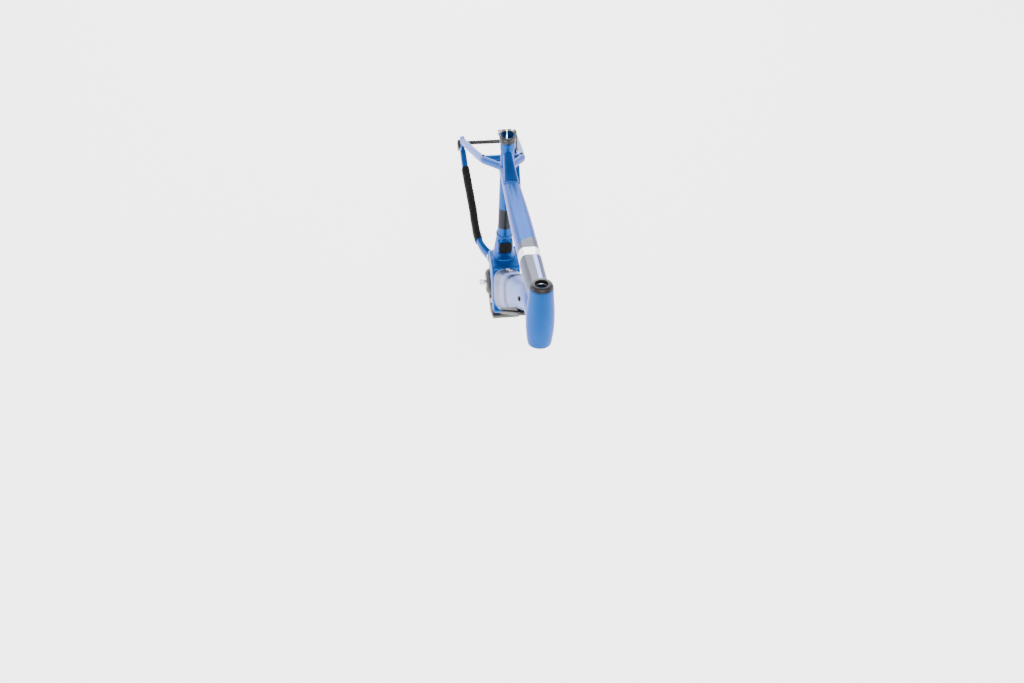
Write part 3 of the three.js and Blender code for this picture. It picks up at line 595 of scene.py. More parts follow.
def anodised(name, tone=(0.018, 0.018, 0.020, 1)):
    box = Paintbox(name, Metallic=0.75, Coat_Weight=0.1, Coat_Roughness=0.4)
    grain = box.noise(900, 3)
    rub = box.spread(box.noise(70, 5, 0.7), -0.6, 0.55)
    box.colour(box.mix(box.math("MAXIMUM", rub, 0.0), tone, (0.11, 0.11, 0.115, 1)))
    box.rough(box.spread(grain, 0.34, 0.50))
    box.bumps((grain, 0.18, 0.05))
    return box.material


def steel(name, tone=(0.55, 0.56, 0.58, 1)):
    box = Paintbox(name, Metallic=1.0)
    brush = box.noise(220, 3, stretch=(1, 14, 1))
    stain = box.spread(box.noise(45, 4, 0.65), -0.5, 0.5)
    box.colour(box.mix(box.math("MAXIMUM", stain, 0.0), tone, (0.30, 0.29, 0.28, 1)))
    box.rough(box.spread(brush, 0.18, 0.34))
    box.bumps((brush, 0.12, 0.04))
    return box.material


def plastic(name, tone, grain_size=650):
    box = Paintbox(name, Specular_IOR_Level=0.12)
    leather = box.cells(grain_size)
    scuff = box.spread(box.noise(26, 6, 0.7), -0.7, 0.5)
    lighter = tuple(min(1, channel * 1.9 + 0.02) for channel in tone[:3]) + (1,)
    box.colour(box.mix(box.math("MAXIMUM", scuff, 0.0), tone, lighter))
    box.rough(box.spread(box.noise(180, 3), 0.50, 0.66))
    box.bumps((leather, 0.35, 0.12))
    return box.material


def rubber(name):
    box = Paintbox(name, Specular_IOR_Level=0.16)
    bloom = box.spread(box.noise(55, 5, 0.65), 0.0, 1.0)
    fade = box.math("MULTIPLY", bloom, 0.5)
    box.colour(box.mix(fade, (0.003, 0.003, 0.003, 1), (0.012, 0.012, 0.013, 1)))
    box.rough(box.spread(box.noise(300, 3), 0.58, 0.78))
    box.bumps((box.noise(800, 2), 0.25, 0.08))
    return box.material


def neoprene(name):
    """Knitted face cloth over foam, with lint caught in it."""
    box = Paintbox(name, Specular_IOR_Level=0.08, Sheen_Weight=0.06, Sheen_Roughness=0.5)
    knit = box.tree.nodes.new("ShaderNodeTexWave")
    knit.inputs["Scale"].default_value = 260
    knit.inputs["Distortion"].default_value = 2.5
    box.plug(knit.inputs["Vector"], box.place)
    lint = box.spread(box.noise(240, 6, 0.75), -0.8, 0.5)
    box.colour(box.mix(box.math("MAXIMUM", lint, 0.0), (0.004, 0.004, 0.0045, 1), (0.030, 0.030, 0.031, 1)))
    box.rough(box.spread(box.noise(90, 3), 0.82, 0.95))
    box.bumps((knit.outputs["Fac"], 0.35, 0.2), (box.noise(60, 4), 0.4, 0.8))
    return box.material


def casting(name):
    box = Paintbox(name, Metallic=0.35, Coat_Weight=0.15, Coat_Roughness=0.5)
    sand = box.noise(520, 4, 0.6)
    chips = box.spread(box.noise(38, 6, 0.72), -0.9, 0.45)
    box.colour(box.mix(box.math("MAXIMUM", chips, 0.0), (0.028, 0.029, 0.032, 1), (0.12, 0.12, 0.125, 1)))
    box.rough(box.spread(sand, 0.46, 0.62))
    box.bumps((sand, 0.4, 0.15))
    return box.material


plain_paint = paint("blue_paint")
seat_tube_paint = paint("blue_paint_seat_tube", seat_tube_zones)
top_tube_paint = paint("blue_paint_top_tube", top_tube_zones, top_tube_painted_dark_reflection)
down_tube_paint = paint("blue_paint_down_tube", down_tube_zones)
black_metal = anodised("black_anodised")
bright_steel = steel("polished_steel")
dark_plastic = plastic("grey_plastic", (0.045, 0.045, 0.046, 1), 420)
black_plastic = plastic("black_plastic", (0.014, 0.014, 0.015, 1))
black_rubber = rubber("black_rubber")
sleeve_cloth = neoprene("neoprene")
cast_metal = casting("cast_housing")

# ----------------------------------------------------------------- tube stations

top_stations = [
    (on_seat_tube(398), 40, 38, 2.4),
    (in_plane(-20, 427), 44, 42, 2.6),
    (in_plane(140, 502), 52, 46, 2.7),
    (in_plane(300, 576), 51, 52, 2.7),
    (on_head_tube(112), 48, 56, 2.5),
]

DOWN_TUBE_WIDTHS = [75, 74, 73, 71, 68, 63]
down_stations = []
for index, wide in enumerate(DOWN_TUBE_WIDTHS):
    way = index / (len(DOWN_TUBE_WIDTHS) - 1)
    lower = LOWER_EDGE[0].lerp(LOWER_EDGE[1], way)
    upper = UPPER_EDGE[0].lerp(UPPER_EDGE[1], way)
    down_stations.append((lower.lerp(upper, 0.5), wide, (upper - lower).length, 3.6 - way))
down_stations.append((on_head_tube(66, -42), 60, 64, 2.5))
down_stations.append((on_head_tube(56, 0), 56, 66, 2.4))


def chainstay_stations(hand):
    sections = [
        ((-441, 79.5, 54), 18, 24, 2.6), ((-367, 77, 50), 19, 25, 2.6), ((-235, 69, 48), 18, 27, 2.6),
        ((-120, 62, 47), 17, 30, 2.8), ((-84, 50, 46), 18, 34, 2.8), ((-54, 30, 45), 22, 38, 2.8),
    ]
    return [(mirrored(point, hand), wide, tall, square) for point, wide, tall, square in sections]


def seatstay_stations(hand):
    sections = [
        ((-443, 79.5, 88), 16, 20, 2.4), ((-350, 71, 175), 17, 20, 2.4), ((-204, 55, 313), 18, 20, 2.4),
        ((-178, 51, 338), 18, 20, 2.4), ((-158, 39, 354), 18, 20, 2.4), ((-112, 10, 390), 17, 20, 2.2),
    ]
    return [(mirrored(point, hand), wide, tall, square) for point, wide, tall, square in sections]


seat_stations = [
    (on_seat_tube(along), wide, tall, square)
    for along, wide, tall, square in [
        (40, 74, 68, 2.8), (70, 72, 64, 2.8), (92, 66, 60, 2.6), (120, 56, 54, 2.4),
        (150, 49, 51, 2.4), (174, 43, 45, 2.2), (215, 37.5, 37.5, 2), (330, 36, 36, 2),
        (455, 35.2, 35.2, 2),
    ]
]
gusset_stations = [
    (in_plane(-122, 436), 24, 34, 2.6), (in_plane(-68, 435), 31, 28, 2.8), (in_plane(-9, 438), 41, 22, 2.8),
]
bracket_outline = [
    in_plane(x, z)
    for x, z in [
        (-62, 20), (-64, 70), (-44, 94), (-8, 106), (29, 113), (122, 22),
        (99, 3), (62, 16), (46, 36), (0, 52), (-40, 34),
    ]
]
drive_outline = [
    in_plane(x, z)
    for x, z in [(-50, -36), (-14, -66), (60, -66), (99, -26), (103, 6), (22, 88), (-34, 80), (-50, 50)]
]
dropout_outline = [
    in_plane(x, z)
    for x, z in [(-483, 58), (-476, 36), (-452, 34), (-428, 42), (-428, 92), (-440, 106), (-462, 88)]
]


def widened(outline, distance):
    """Moves every side of a convex outline outwards by the same distance."""
    centre = sum(outline, Vector()) / len(outline)

    def pushed(start, end):
        direction = (end - start).normalized()
        outward = in_plane(direction.z, -direction.x)
        if outward.dot(start - centre) < 0:
            outward.negate()
        return start + outward * distance, direction

    wider = []
    for index, point in enumerate(outline):
        first, along = pushed(outline[index - 1], point)
        second, onward = pushed(point, outline[(index + 1) % len(outline)])
        apart = second - first
        turn = along.x * onward.z - along.z * onward.x
        wider.append(first + along * ((apart.x * onward.z - apart.z * onward.x) / turn))
    return wider


# ------------------------------------------------------------------- weld beads

WELD_PITCH = 4.2


def where_it_meets(rings, target, from_end=True):
    """The closed line where a tube's skin first meets another mesh, with normals."""
    tree = BVHTree.FromPolygons(
        [vertex.co / MM for vertex in target.vertices],
        [tuple(face.vertices) for face in target.polygons],
    )
    order = range(len(rings)) if from_end else range(len(rings) - 1, -1, -1)
    rows = [rings[index] for index in order]
    line = []
    for side in range(len(rings[0])):
        for start, end in zip(rows, rows[1:]):
            travel = end[side] - start[side]
            if travel.length == 0:
                continue
            spot, normal, _, _ = tree.ray_cast(start[side], travel.normalized(), travel.length)
            if spot is not None:
                outward = (start[side] - sum(start, Vector()) / len(start)).normalized()
                line.append((spot, (normal + outward).normalized()))
                break
    return line


def weld_bead(name, line, radius=3.4, closed=True):
    """A run of overlapping weld puddles along a line of (point, normal)."""
    points = [point for point, _ in line]
    count = len(points)
    lengths = [0.0]
    for index in range(1, count + (1 if closed else 0)):
        lengths.append(lengths[-1] + (points[index % count] - points[index - 1]).length)
    total = lengths[-1]
    puddles = max(3, round(total / WELD_PITCH))
    steps = puddles * 7
    rings = []
    index = 0
    for step in range(steps if closed else steps + 1):
        travelled = total * step / steps
        while index + 1 < len(lengths) - 1 and lengths[index + 1] < travelled:
            index += 1
        way = (travelled - lengths[index]) / max(lengths[index + 1] - lengths[index], 1e-6)
        here, following = line[index], line[(index + 1) % count]
        centre = here[0].lerp(following[0], way)
        normal = here[1].lerp(following[1], way).normalized()
        ahead = (following[0] - here[0]).normalized()
        side = ahead.cross(normal).normalized()
        puddle = abs(math.sin(math.pi * step / 7))
        wobble = noise.noise(centre * 0.09) * 0.18
        wide = radius * (1.0 + 0.16 * puddle + wobble)
        high = radius * (0.42 + 0.26 * puddle + wobble * 0.5)
        rings.append([
            reach(centre, (side, wide * math.cos(angle)), (normal, high * math.sin(angle)))
            for angle in [corner / 12 * 2 * math.pi for corner in range(12)]
        ])
    add_piece(name, skin(rings, looped=closed), plain_paint)


# ------------------------------------------------------------ tubes of the frame

HEAD_PROFILE = [
    (27, 0), (27.6, 3), (28.4, 9), (30, 22), (31.5, 40), (32, 56),
    (31.7, 74), (31, 94), (29.4, 112), (28, 128), (27.1, 146), (26.6, 150),
]
HEAD_BORE = [(21.3, 150), (21.3, 141), (19.5, 140), (19.5, 12), (26.2, 10), (26.2, 0)]
head_core = rod(on_head_tube(-40), head_up, 240, 24)
seat_core = rod(on_seat_tube(196), seat_up, 340, 16.6)
bracket_core = plate(widened(bracket_outline[:6] + [in_plane(30, 10)], -3), BRACKET_WIDTH - 6, 0, 8, 4)


def make_head_tube():
    mesh = turned(HEAD_PROFILE + HEAD_BORE, HEAD_FOOT, head_up, 128)
    add_piece("head_tube_shell", mesh, plain_paint, "head_tube", sharp=BLUNT)
    return mesh


def crease(way, angle, out, up):
    """A shallow channel along the top of the top tube."""
    if up <= 0:
        return out, up
    ends = min(1.0, way * 9) * min(1.0, max(0.0, (1 - way) * 5))
    return out, up - 2.0 * ends * math.exp(-((out / 8.5) ** 2))


def make_top_tube():
    rings = tube_rings(top_stations, sides=96, steps=90, shape=crease)
    mesh = cut(skin(rings), head_core, seat_core)
    add_piece("top_tube_shell", mesh, top_tube_paint, "top_tube")
    return rings, mesh


BATTERY_FOOT = 68
BATTERY_LENGTH = 402
BATTERY_DOOR_WIDTH = 58
LOCK_PLACE = by_battery(492, 29)
CABLE_PORT = in_plane(372, 538)
port_along = in_plane(math.cos(math.radians(50)), math.sin(math.radians(50)))
port_up = in_plane(-port_along.z, port_along.x)


def port_oval(hand, grow, low, high):
    """An oval plug through the side wall of the down tube."""
    corners = [step / 40 * 2 * math.pi for step in range(40)]
    rings = [
        [
            reach(
                CABLE_PORT, (port_along, (11 + grow) * math.cos(angle)),
                (port_up, (5.5 + grow) * math.sin(angle)), (ACROSS, hand * level),
            )
            for angle in corners
        ]
        for level in (low, high)
    ]
    return skin(rings)


def make_down_tube():
    rings = tube_rings(down_stations, sides=96, steps=110)
    door_length = BATTERY_LENGTH + 34
    door_middle = by_battery(BATTERY_FOOT - 16 + door_length / 2)
    door = block(door_middle, down_along, door_length, BATTERY_DOOR_WIDTH, 40, 4)
    hollow = tube(down_stations, sides=48, steps=60, grow=-3, start=0.01, end=0.86)
    lock_hole = rod(LOCK_PLACE, ACROSS, 50, 9.3)
    ports = [port_oval(hand, 0.2, 20, 50) for _, hand in RIGHT_LEFT]
    mesh = cut(skin(rings), hollow, door, lock_hole, head_core, bracket_core, *ports)
    add_piece("down_tube_shell", mesh, down_tube_paint, "down_tube")
    return rings


PORT_HEIGHT = 148
PORT_FACE = 24.5
SOCKET_SEAT = on_seat_tube(PORT_HEIGHT, 16)


def make_seat_tube():
    """The tube above the bracket, with a swollen and slotted upper end."""
    profile = [
        (17.58, 450), (17.6, 460), (18.2, 463), (18.9, 466.5), (19, 470), (19, 486),
        (18.7, 489), (17.3, 490.8), (17.3, SEAT_TUBE_LENGTH),
        (SEAT_POST_RADIUS, SEAT_TUBE_LENGTH), (SEAT_POST_RADIUS, 450),
    ]
    top = turned(profile, Vector(), seat_up, 96)
    slot = block(on_seat_tube(SEAT_TUBE_LENGTH - 15, -18), seat_up, 34, 3, 12)
    lower = tube(seat_stations, sides=96, steps=120, start=0.642)
    bore = rod(on_seat_tube(200), seat_up, 300, SEAT_POST_RADIUS)
    mesh = cut(joined(cut(lower, bore), top), slot)
    add_piece("seat_tube_shell", mesh, seat_tube_paint, "seat_tube")
    return mesh


DRIVE_BOLTS = [in_plane(-46, 62), in_plane(82, 34)]
WELD_RING = 181


def make_bracket():
    """The forged bracket with the swollen foot of the seat tube blended into it."""
    outer = plate(bracket_outline, BRACKET_WIDTH, 0, 12, 7)
    foot = tube(seat_stations, sides=96, steps=50, start=0.02, end=0.65)
    lip = block(on_seat_tube(147, PORT_FACE - 7), seat_up, 48, 44, 16, 6)
    body = melted(joined(outer, foot, lip), 1.5, 9)
    room = plate(widened(drive_outline, 1.5), 68, 0, 10, 0)
    under = block(in_plane(20, -20), in_plane(1, 0), 150, 68, 60)
    facet = block(on_seat_tube(PORT_HEIGHT, PORT_FACE + 20), seat_up, 39, 41, 40, 6)
    socket_hole = rod(SOCKET_SEAT, seat_forward, 30, 13.3)
    bolts = [rod(reach(place, (ACROSS, -60)), ACROSS, 120, 4.2) for place in DRIVE_BOLTS]
    mesh = cut(body, room, under, facet, socket_hole, *bolts)
    add_piece("bracket_forging", mesh, plain_paint, "motor_bracket", sharp=BLUNT)
    return mesh


def make_gusset():
    rings = tube_rings(gusset_stations, sides=72, steps=30)
    mesh = cut(skin(rings), seat_core)
    add_piece("gusset_shell", mesh, plain_paint, "seat_tube_gusset")
    return rings


def make_main_frame():
    head = make_head_tube()
    top_rings, top = make_top_tube()
    down_rings = make_down_tube()
    seat = make_seat_tube()
    bracket = make_bracket()
    gusset_rings = make_gusset()
    weld_bead("weld_top_tube_head", where_it_meets(top_rings[30:], head))
    weld_bead("weld_down_tube_head", where_it_meets(down_rings[60:], head))
    weld_bead("weld_top_tube_seat", where_it_meets(top_rings[:40], seat, from_end=False))
    weld_bead("weld_gusset_top_tube", where_it_meets(gusset_rings[8:], top), 3.0, closed=False)
    weld_bead("weld_down_tube_bracket", where_it_meets(down_rings[:50], bracket, from_end=False))
    ring = [
        (on_seat_tube(WELD_RING) + arm * 21.4, arm)
        for arm in [
            seat_forward * math.cos(angle) + ACROSS * math.sin(angle)
            for angle in [step / 72 * 2 * math.pi for step in range(72)]
        ]
    ]
    weld_bead("weld_seat_tube_foot", ring)
    return seat, bracket


seat_tube_mesh, bracket_mesh = make_main_frame()

# ------------------------------------------------------------ stays and dropouts


BRIDGE_MIDDLE = in_plane(-187, 331)


def bridge_stations(*places_across):
    return [(reach(BRIDGE_MIDDLE, (ACROSS, y)), 22, 13, 2.4) for y in places_across]


def stay_rings(stations):
    return tube_rings(stations, sides=48, steps=80)


def make_dropout(side, hand):
    body = plate(dropout_outline, DROPOUT_THICKNESS, hand * DROPOUT_MIDDLE, 9, 1.6)
    hole = rod(reach(REAR_AXLE, (ACROSS, -120)), ACROSS, 240, AXLE_HOLE_RADIUS)
    window_outline = [in_plane(-447, 62), in_plane(-432, 62), in_plane(-432, 84), in_plane(-441, 90)]
    window = plate(window_outline, 40, hand * DROPOUT_MIDDLE, 3, 0)
    mesh = cut(body, hole, window)
    add_piece(f"dropout_{side}_plate", mesh, plain_paint, f"dropout_{side}")
    return mesh


def make_stays():
    for side, hand in RIGHT_LEFT:
        dropout = make_dropout(side, hand)
        gap = plate(widened(dropout_outline, -3), 3 * DROPOUT_THICKNESS, hand * DROPOUT_MIDDLE, 9, 1)
        chainstay = stay_rings(chainstay_stations(hand))
        mesh = cut(skin(chainstay), gap)
        add_piece(f"chainstay_{side}_tube", mesh, plain_paint, f"chainstay_{side}")
        seatstay = stay_rings(seatstay_stations(hand))
        mesh = cut(skin(seatstay), gap, seat_core)
        add_piece(f"seatstay_{side}_tube", mesh, plain_paint, f"seatstay_{side}")
        weld_bead(f"weld_chainstay_bracket_{side}", where_it_meets(chainstay[40:], bracket_mesh), 2.4)
        weld_bead(f"weld_seatstay_seat_tube_{side}", where_it_meets(seatstay[40:], seat_tube_mesh), 2.2)
        weld_bead(f"weld_chainstay_dropout_{side}", where_it_meets(chainstay[:40], dropout, False), 1.9)
        weld_bead(f"weld_seatstay_dropout_{side}", where_it_meets(seatstay[:40], dropout, False), 1.9)
        bridge = tube_rings(bridge_stations(0, hand * 58), sides=40, steps=30)
        weld_bead(f"weld_bridge_{side}", where_it_meets(bridge, skin(seatstay)), 1.8)
    bridge = tube(bridge_stations(-52, 0, 52), sides=48, steps=30)
    add_piece("stay_bridge_tube", bridge, plain_paint, "seatstay_bridge")


make_stays()

# ---------------------------------------------------------- fittings on the rear


def make_sleeve():
    """A padded sleeve wrapped round the right chainstay, with a lapped seam."""

    def puffed(way, angle, out, up):
        length = way * 26
        swell = 0.7 * noise.noise(Vector((math.cos(angle) * 1.4, math.sin(angle) * 1.4, length)))
        rib = 0.35 * math.sin(way * 460) ** 2
        lap = 1.5 if -2.4 < angle - math.pi * 2 < -1.7 else 0.0
        reach_out = math.hypot(out, up)
        grown = (reach_out + swell + rib + lap) / reach_out
        return out * grown, up * grown

    stations = chainstay_stations(-1)
    outer = tube_rings(stations, sides=64, steps=150, grow=2.2, start=0.2, end=0.64, shape=puffed)
    rims = [
        tube_rings(stations, sides=64, steps=1, grow=0.4, start=way, end=way + 0.001)[0]
        for way in (0.202, 0.638)
    ]
    mesh = skin([rims[0]] + outer + [rims[1]])
    add_piece("chainstay_sleeve", mesh, sleeve_cloth, "chainstay_protector")


DERAILLEUR_HOLE = in_plane(-466, 29)


def make_hanger_and_axle():
    outline = [
        in_plane(x, z) for x, z in [(-471, 62), (-452, 64), (-449, 48), (-458, 20), (-476, 20)]
    ]
    face, thickness = -85, 7
    body = plate(outline, thickness, face - 0.3 - thickness / 2, 5, 1)
    boss = rod(DERAILLEUR_HOLE - ACROSS * 92.3, ACROSS, 7, 8, edge=0.6)
    hole = rod(DERAILLEUR_HOLE - ACROSS * 120, ACROSS, 60, 5)
    axle_hole = rod(REAR_AXLE - ACROSS * 120, ACROSS, 60, AXLE_HOLE_RADIUS)
    mesh = cut(joined(body, boss), hole, axle_hole)
    add_piece("hanger_plate", mesh, black_metal, "derailleur_hanger")

    thread = [(6 - 0.35 * (index % 2), index * 0.5) for index in range(2, 38)]
    head = [(9.2, 179.3), (9.5, 180), (9.5, 185.4), (8.9, 186.2), (0, 186.2)]
    profile = [(0, 0), (5, 0)] + thread + [(6, 19), (6, 179)] + head
    axle = turned(profile, REAR_AXLE - ACROSS * 94, ACROSS, 64)
    socket = rod(REAR_AXLE + ACROSS * 88, ACROSS, 8, 3.4, 6)
    mesh = cut(axle, socket)
    add_piece("thru_axle_shaft", mesh, black_metal, "rear_thru_axle", "thru_axle")


def make_brake_mount():
    outline = [
        in_plane(x, z)
        for x, z in [
            (-418, 72), (-356, 68), (-330, 80), (-338, 94),
            (-360, 86), (-388, 88), (-398, 118), (-414, 118),
        ]
    ]
    middle = 64
    body = plate(outline, 13, middle, 5, 1.6)
    upright = in_plane(0, 1)
    posts, holes = [], []
    for x, z, height in ((-406, 96, 22), (-336, 76, 17)):
        foot = reach(in_plane(x, z), (ACROSS, middle))
        posts.append(rod(foot, upright, height, 6.4, edge=0.6))
        holes.append(rod(reach(foot, (upright, 6)), upright, 20, 2.6))
    mesh = cut(joined(body, *posts), *holes)
    add_piece("brake_mount_forging", mesh, plain_paint, "brake_mount")


def cap_screw(name, foot, axis, radius, height, socket, shank, material, node):
    """A round-headed screw with a hexagon socket. foot is where the head rests."""
    profile = [
        (0, 0), (radius * 0.96, 0), (radius, height * 0.12), (radius, height * 0.45),
        (radius * 0.9, height * 0.72), (radius * 0.72, height * 0.92), (radius * 0.6, height), (0, height),
    ]
    thread = [(shank[0] - 0.25 * (index % 2), -index * 0.45) for index in range(int(shank[1] / 0.45))]
    stem = turned([(0, 0.2), (shank[0], 0.2)] + thread + [(0, -shank[1])], foot, axis, 24)
    hexagon = rod(foot + axis * height * 0.35, axis, height, socket, 6)
    mesh = cut(joined(turned(profile, foot, axis, 48), stem), hexagon)
    add_piece(name, mesh, material, node)


BOTTLE_BOLT_PLACES = [70, 134]


def make_screws():
    for index, along in enumerate(BOTTLE_BOLT_PLACES):
        foot = reach(UPPER_EDGE[0], (down_top, along), (down_top_out, 0.5))
        name, node = f"bottle_screw_{index + 1}", f"bottle_bolt_{index + 1}"
        cap_screw(name, foot, down_top_out, 4.6, 3.6, 1.7, (2.4, 9), bright_steel, node)
        rim = [(2.9, -1.5), (7.2, -1.5), (7.2, -0.4), (6.2, 0.35), (2.9, 0.35)]
        boss = turned(rim, foot - down_top_out * 0.5, down_top_out, 48)
        add_piece(f"bottle_boss_{index + 1}", boss, black_metal)
    for side, hand in RIGHT_LEFT:
        lower, upper = [seatstay_stations(hand)[index][0] for index in (2, 3)]
        outward = in_plane(-math.sin(math.radians(43)), math.cos(math.radians(43)))
        foot = reach(lower.lerp(upper, 0.7), (outward, 10.6))
        name, node = f"eyelet_screw_{side}", f"stay_eyelet_bolt_{side}"
        cap_screw(name, foot, outward, 4.2, 3.4, 1.6, (2.4, 7), black_metal, node)
        outward = ACROSS * hand
        for index, place in enumerate(DRIVE_BOLTS):
            foot = reach(place, (outward, BRACKET_WIDTH / 2 + 0.3))
            name, node = f"drive_screw_{side}_{index + 1}", f"drive_unit_bolt_{side}_{index + 1}"
            cap_screw(name, foot, outward, 6.5, 4.5, 2.9, (3, 17), bright_steel, node)


# ---------------------------------------------------------------- seat post clamp

CLAMP_FOOT = 491.5
CLAMP_HEIGHT = 18
SKEWER_PLACE = on_seat_tube(CLAMP_FOOT + 7, -26)
LEVER_SIDE = 21
lever_along = in_plane(0.42, -0.9075)
lever_up = in_plane(0.9075, 0.42)


def make_clamp():
    profile = [
        (17.7, 0), (20.8, 0), (21.7, 0.7), (22, 1.7), (22, 6.3), (21.4, 7.0), (21.4, 11), (22, 11.7),
        (22, 16.3), (21.7, 17.3), (20.8, CLAMP_HEIGHT), (17.7, CLAMP_HEIGHT),
    ]
    collar = turned(profile, on_seat_tube(CLAMP_FOOT), seat_up, 128)
    lug = block(reach(SKEWER_PLACE, (seat_forward, 1)), seat_up, 13, 26, 16, 2)
    bore = rod(on_seat_tube(CLAMP_FOOT - 5), seat_up, 30, 17.7, 96)
    split = block(on_seat_tube(CLAMP_FOOT + 9, -28), seat_up, 30, 4, 30)
    pin_hole = rod(reach(SKEWER_PLACE, (ACROSS, -30)), ACROSS, 60, 3.3)
    mesh = cut(joined(collar, lug), bore, split, pin_hole)
    add_piece("clamp_collar_ring", mesh, black_metal, "seat_clamp_collar")

    thread = [(3 - 0.3 * (index % 2), index * 0.4) for index in range(2, 36)]
    profile = [(0, 0), (2.6, 0)] + thread + [(3, 14.5), (3, 39.1), (2.6, 39.5), (0, 39.5)]
    skewer = turned(profile, reach(SKEWER_PLACE, (ACROSS, -24)), ACROSS, 32)
    add_piece("clamp_skewer_rod", skewer, bright_steel, "clamp_skewer")

    profile = [
        (3.3, 0), (7.6, 0), (8.3, 0.6, True), (8.5, 2.6, True), (8.1, 5, True), (7.4, 7.6, True),
        (6.6, 8.6), (5.2, 9), (3.3, 9),
    ]
    nut = turned(profile, reach(SKEWER_PLACE, (ACROSS, -23)), ACROSS, 96, 12, 0.8)
    add_piece("clamp_nut_knurled", nut, bright_steel, "clamp_nut", "clamp_nut_body")


def make_lever():
    pivot = reach(SKEWER_PLACE, (ACROSS, LEVER_SIDE))
    barrel = rod(reach(pivot, (lever_up, -6)), lever_up, 12, 5, edge=0.8)
    sections = [
        (0, 0, 8, 10), (8, 2.2, 6.4, 10.4), (16, 4, 5, 11), (27, 4.8, 4.4, 11.8), (36, 5, 4, 12),
        (46, 5.6, 3.8, 11.4), (52, 6.6, 3.4, 9.2), (54, 7, 2.6, 5.5),
    ]
    stations = [
        (reach(pivot, (lever_along, along), (ACROSS, out)), wide, tall, 2.4)
        for along, out, wide, tall in sections
    ]
    arm = tube(stations, sides=48, steps=60)
    dish = [
        (reach(pivot, (lever_along, along), (ACROSS, out + 3.4)), wide, tall, 2)
        for along, out, wide, tall in [(18, 4.2, 2, 2), (26, 4.8, 4, 6.5), (38, 5, 4, 7.5), (48, 6, 2, 3)]
    ]
    mesh = cut(joined(barrel, arm), tube(dish, sides=32, steps=30))
    add_piece("clamp_lever_arm", mesh, black_metal, "quick_release_lever", "clamp_lever")


# ------------------------------------------------------------------------ headset


def make_headset():
    bearings = [
        ("upper", on_head_tube(141.3), 14.6, 21.0, 17.6, "upper_bearing_inner"),
        ("lower", on_head_tube(1.5), 19.9, 25.9, 22.8, "lower_bearing_inner"),
    ]
    for name, foot, inner, outer, ball, body in bearings:
        races = [("outer", ball + 0.15, outer, "frame"), ("inner", inner, ball - 0.15, body)]
        for race, low, high, rides in races:
            profile = [
                (low, 0.5), (low + 0.4, 0), (high - 0.5, 0), (high, 0.5), (high, 7), (high - 0.5, 7.5),
                (low + 0.4, 7.5), (low, 7),
            ]
            mesh = turned(profile, foot, head_up, 96)
            node = f"headset_{name}_{race}_race"
            add_piece(f"{name}_{race}_race_ring", mesh, bright_steel, node, rides)
    profile = [
        (14.6, 0), (25.6, 0), (26.3, 0.7), (26.5, 2), (26.2, 2.5), (25.6, 2.8), (25.9, 3.4), (25.2, 5.2),
        (24, 6.8), (21, 8.1), (17, 9), (15.2, 9), (14.6, 8.4),
    ]
    cover = turned(profile, on_head_tube(HEAD_TUBE_LENGTH + 0.3), head_up, 128)
    add_piece("headset_cover_ring", cover, black_metal, "headset_dust_cover", "upper_bearing_inner")


# --------------------------------------------------------------------- drive unit

DRIVE_HALF = 33
BOSS_RADIUS = 37
BOSS_END = 49


def make_drive_unit():
    for side, hand in RIGHT_LEFT:
        outward = ACROSS * hand
        shell = plate(drive_outline, DRIVE_HALF - 0.15, hand * (DRIVE_HALF + 0.15) / 2, 10, 2)
        height = BOSS_END - DRIVE_HALF + 4
        profile = [
            (0, 0), (BOSS_RADIUS + 1.5, 0), (BOSS_RADIUS, 13), (BOSS_RADIUS - 2, 16),
            (BOSS_RADIUS - 6, height - 0.8), (BOSS_RADIUS - 7, height), (27, height),
            (26, height - 1.2), (24.5, height - 1.2), (23.5, height), (0, height),
        ]
        boss = turned(profile, outward * (DRIVE_HALF - 4), outward, 96)
        ribs = []
        for index in range(8):
            angle = index / 8 * 2 * math.pi + 0.3
            arm = in_plane(math.cos(angle), math.sin(angle))
            rib = block(outward * (DRIVE_HALF + 1.6) + arm * 40, arm, 11, 5, 3, 0.8)
            ribs.append(rib)
        bore = rod(outward * -5, outward, 80, 12)
        seat = rod(outward * (BOSS_END - 8), outward, 20, 18.3)
        threads = [rod(reach(place, (outward, DRIVE_HALF - 12)), outward, 20, 3.3) for place in DRIVE_BOLTS]
        mesh = cut(joined(shell, boss, *ribs), bore, seat, *threads)
        add_piece(f"drive_casting_{side}", mesh, cast_metal, f"drive_unit_{side}_half")
        profile = [
            (10.3, 0.4), (10.7, 0), (17.5, 0), (18, 0.5), (18, 6.5), (17.5, 7), (15.6, 7), (15.2, 6.6),
            (12.9, 6.6), (12.5, 7), (10.7, 7), (10.3, 6.6),
        ]
        bearing = turned(profile, outward * (BOSS_END - 7.7), outward, 96)
        add_piece(f"spindle_bearing_ring_{side}", bearing, bright_steel, f"spindle_bearing_{side}")


def make_spindle():
    half = 67
    profile = [
        (0, 0), (7.3, 0), (7.5, 0.3), (8.5, 1.2, True), (8.5, 14, True), (10, 16), (10, 118),
        (8.5, 120, True), (8.5, 132.8, True), (7.5, 133.7), (7.3, 134), (0, 134),
    ]
    shaft = turned(profile, ACROSS * -half, ACROSS, 192, 8, 0.9)
    holes = [rod(ACROSS * (hand * half - 14), ACROSS, 28, 4) for hand in (-1, 1)]
    add_piece("spindle_shaft", cut(shaft, *holes), bright_steel, "crank_spindle", "spindle")


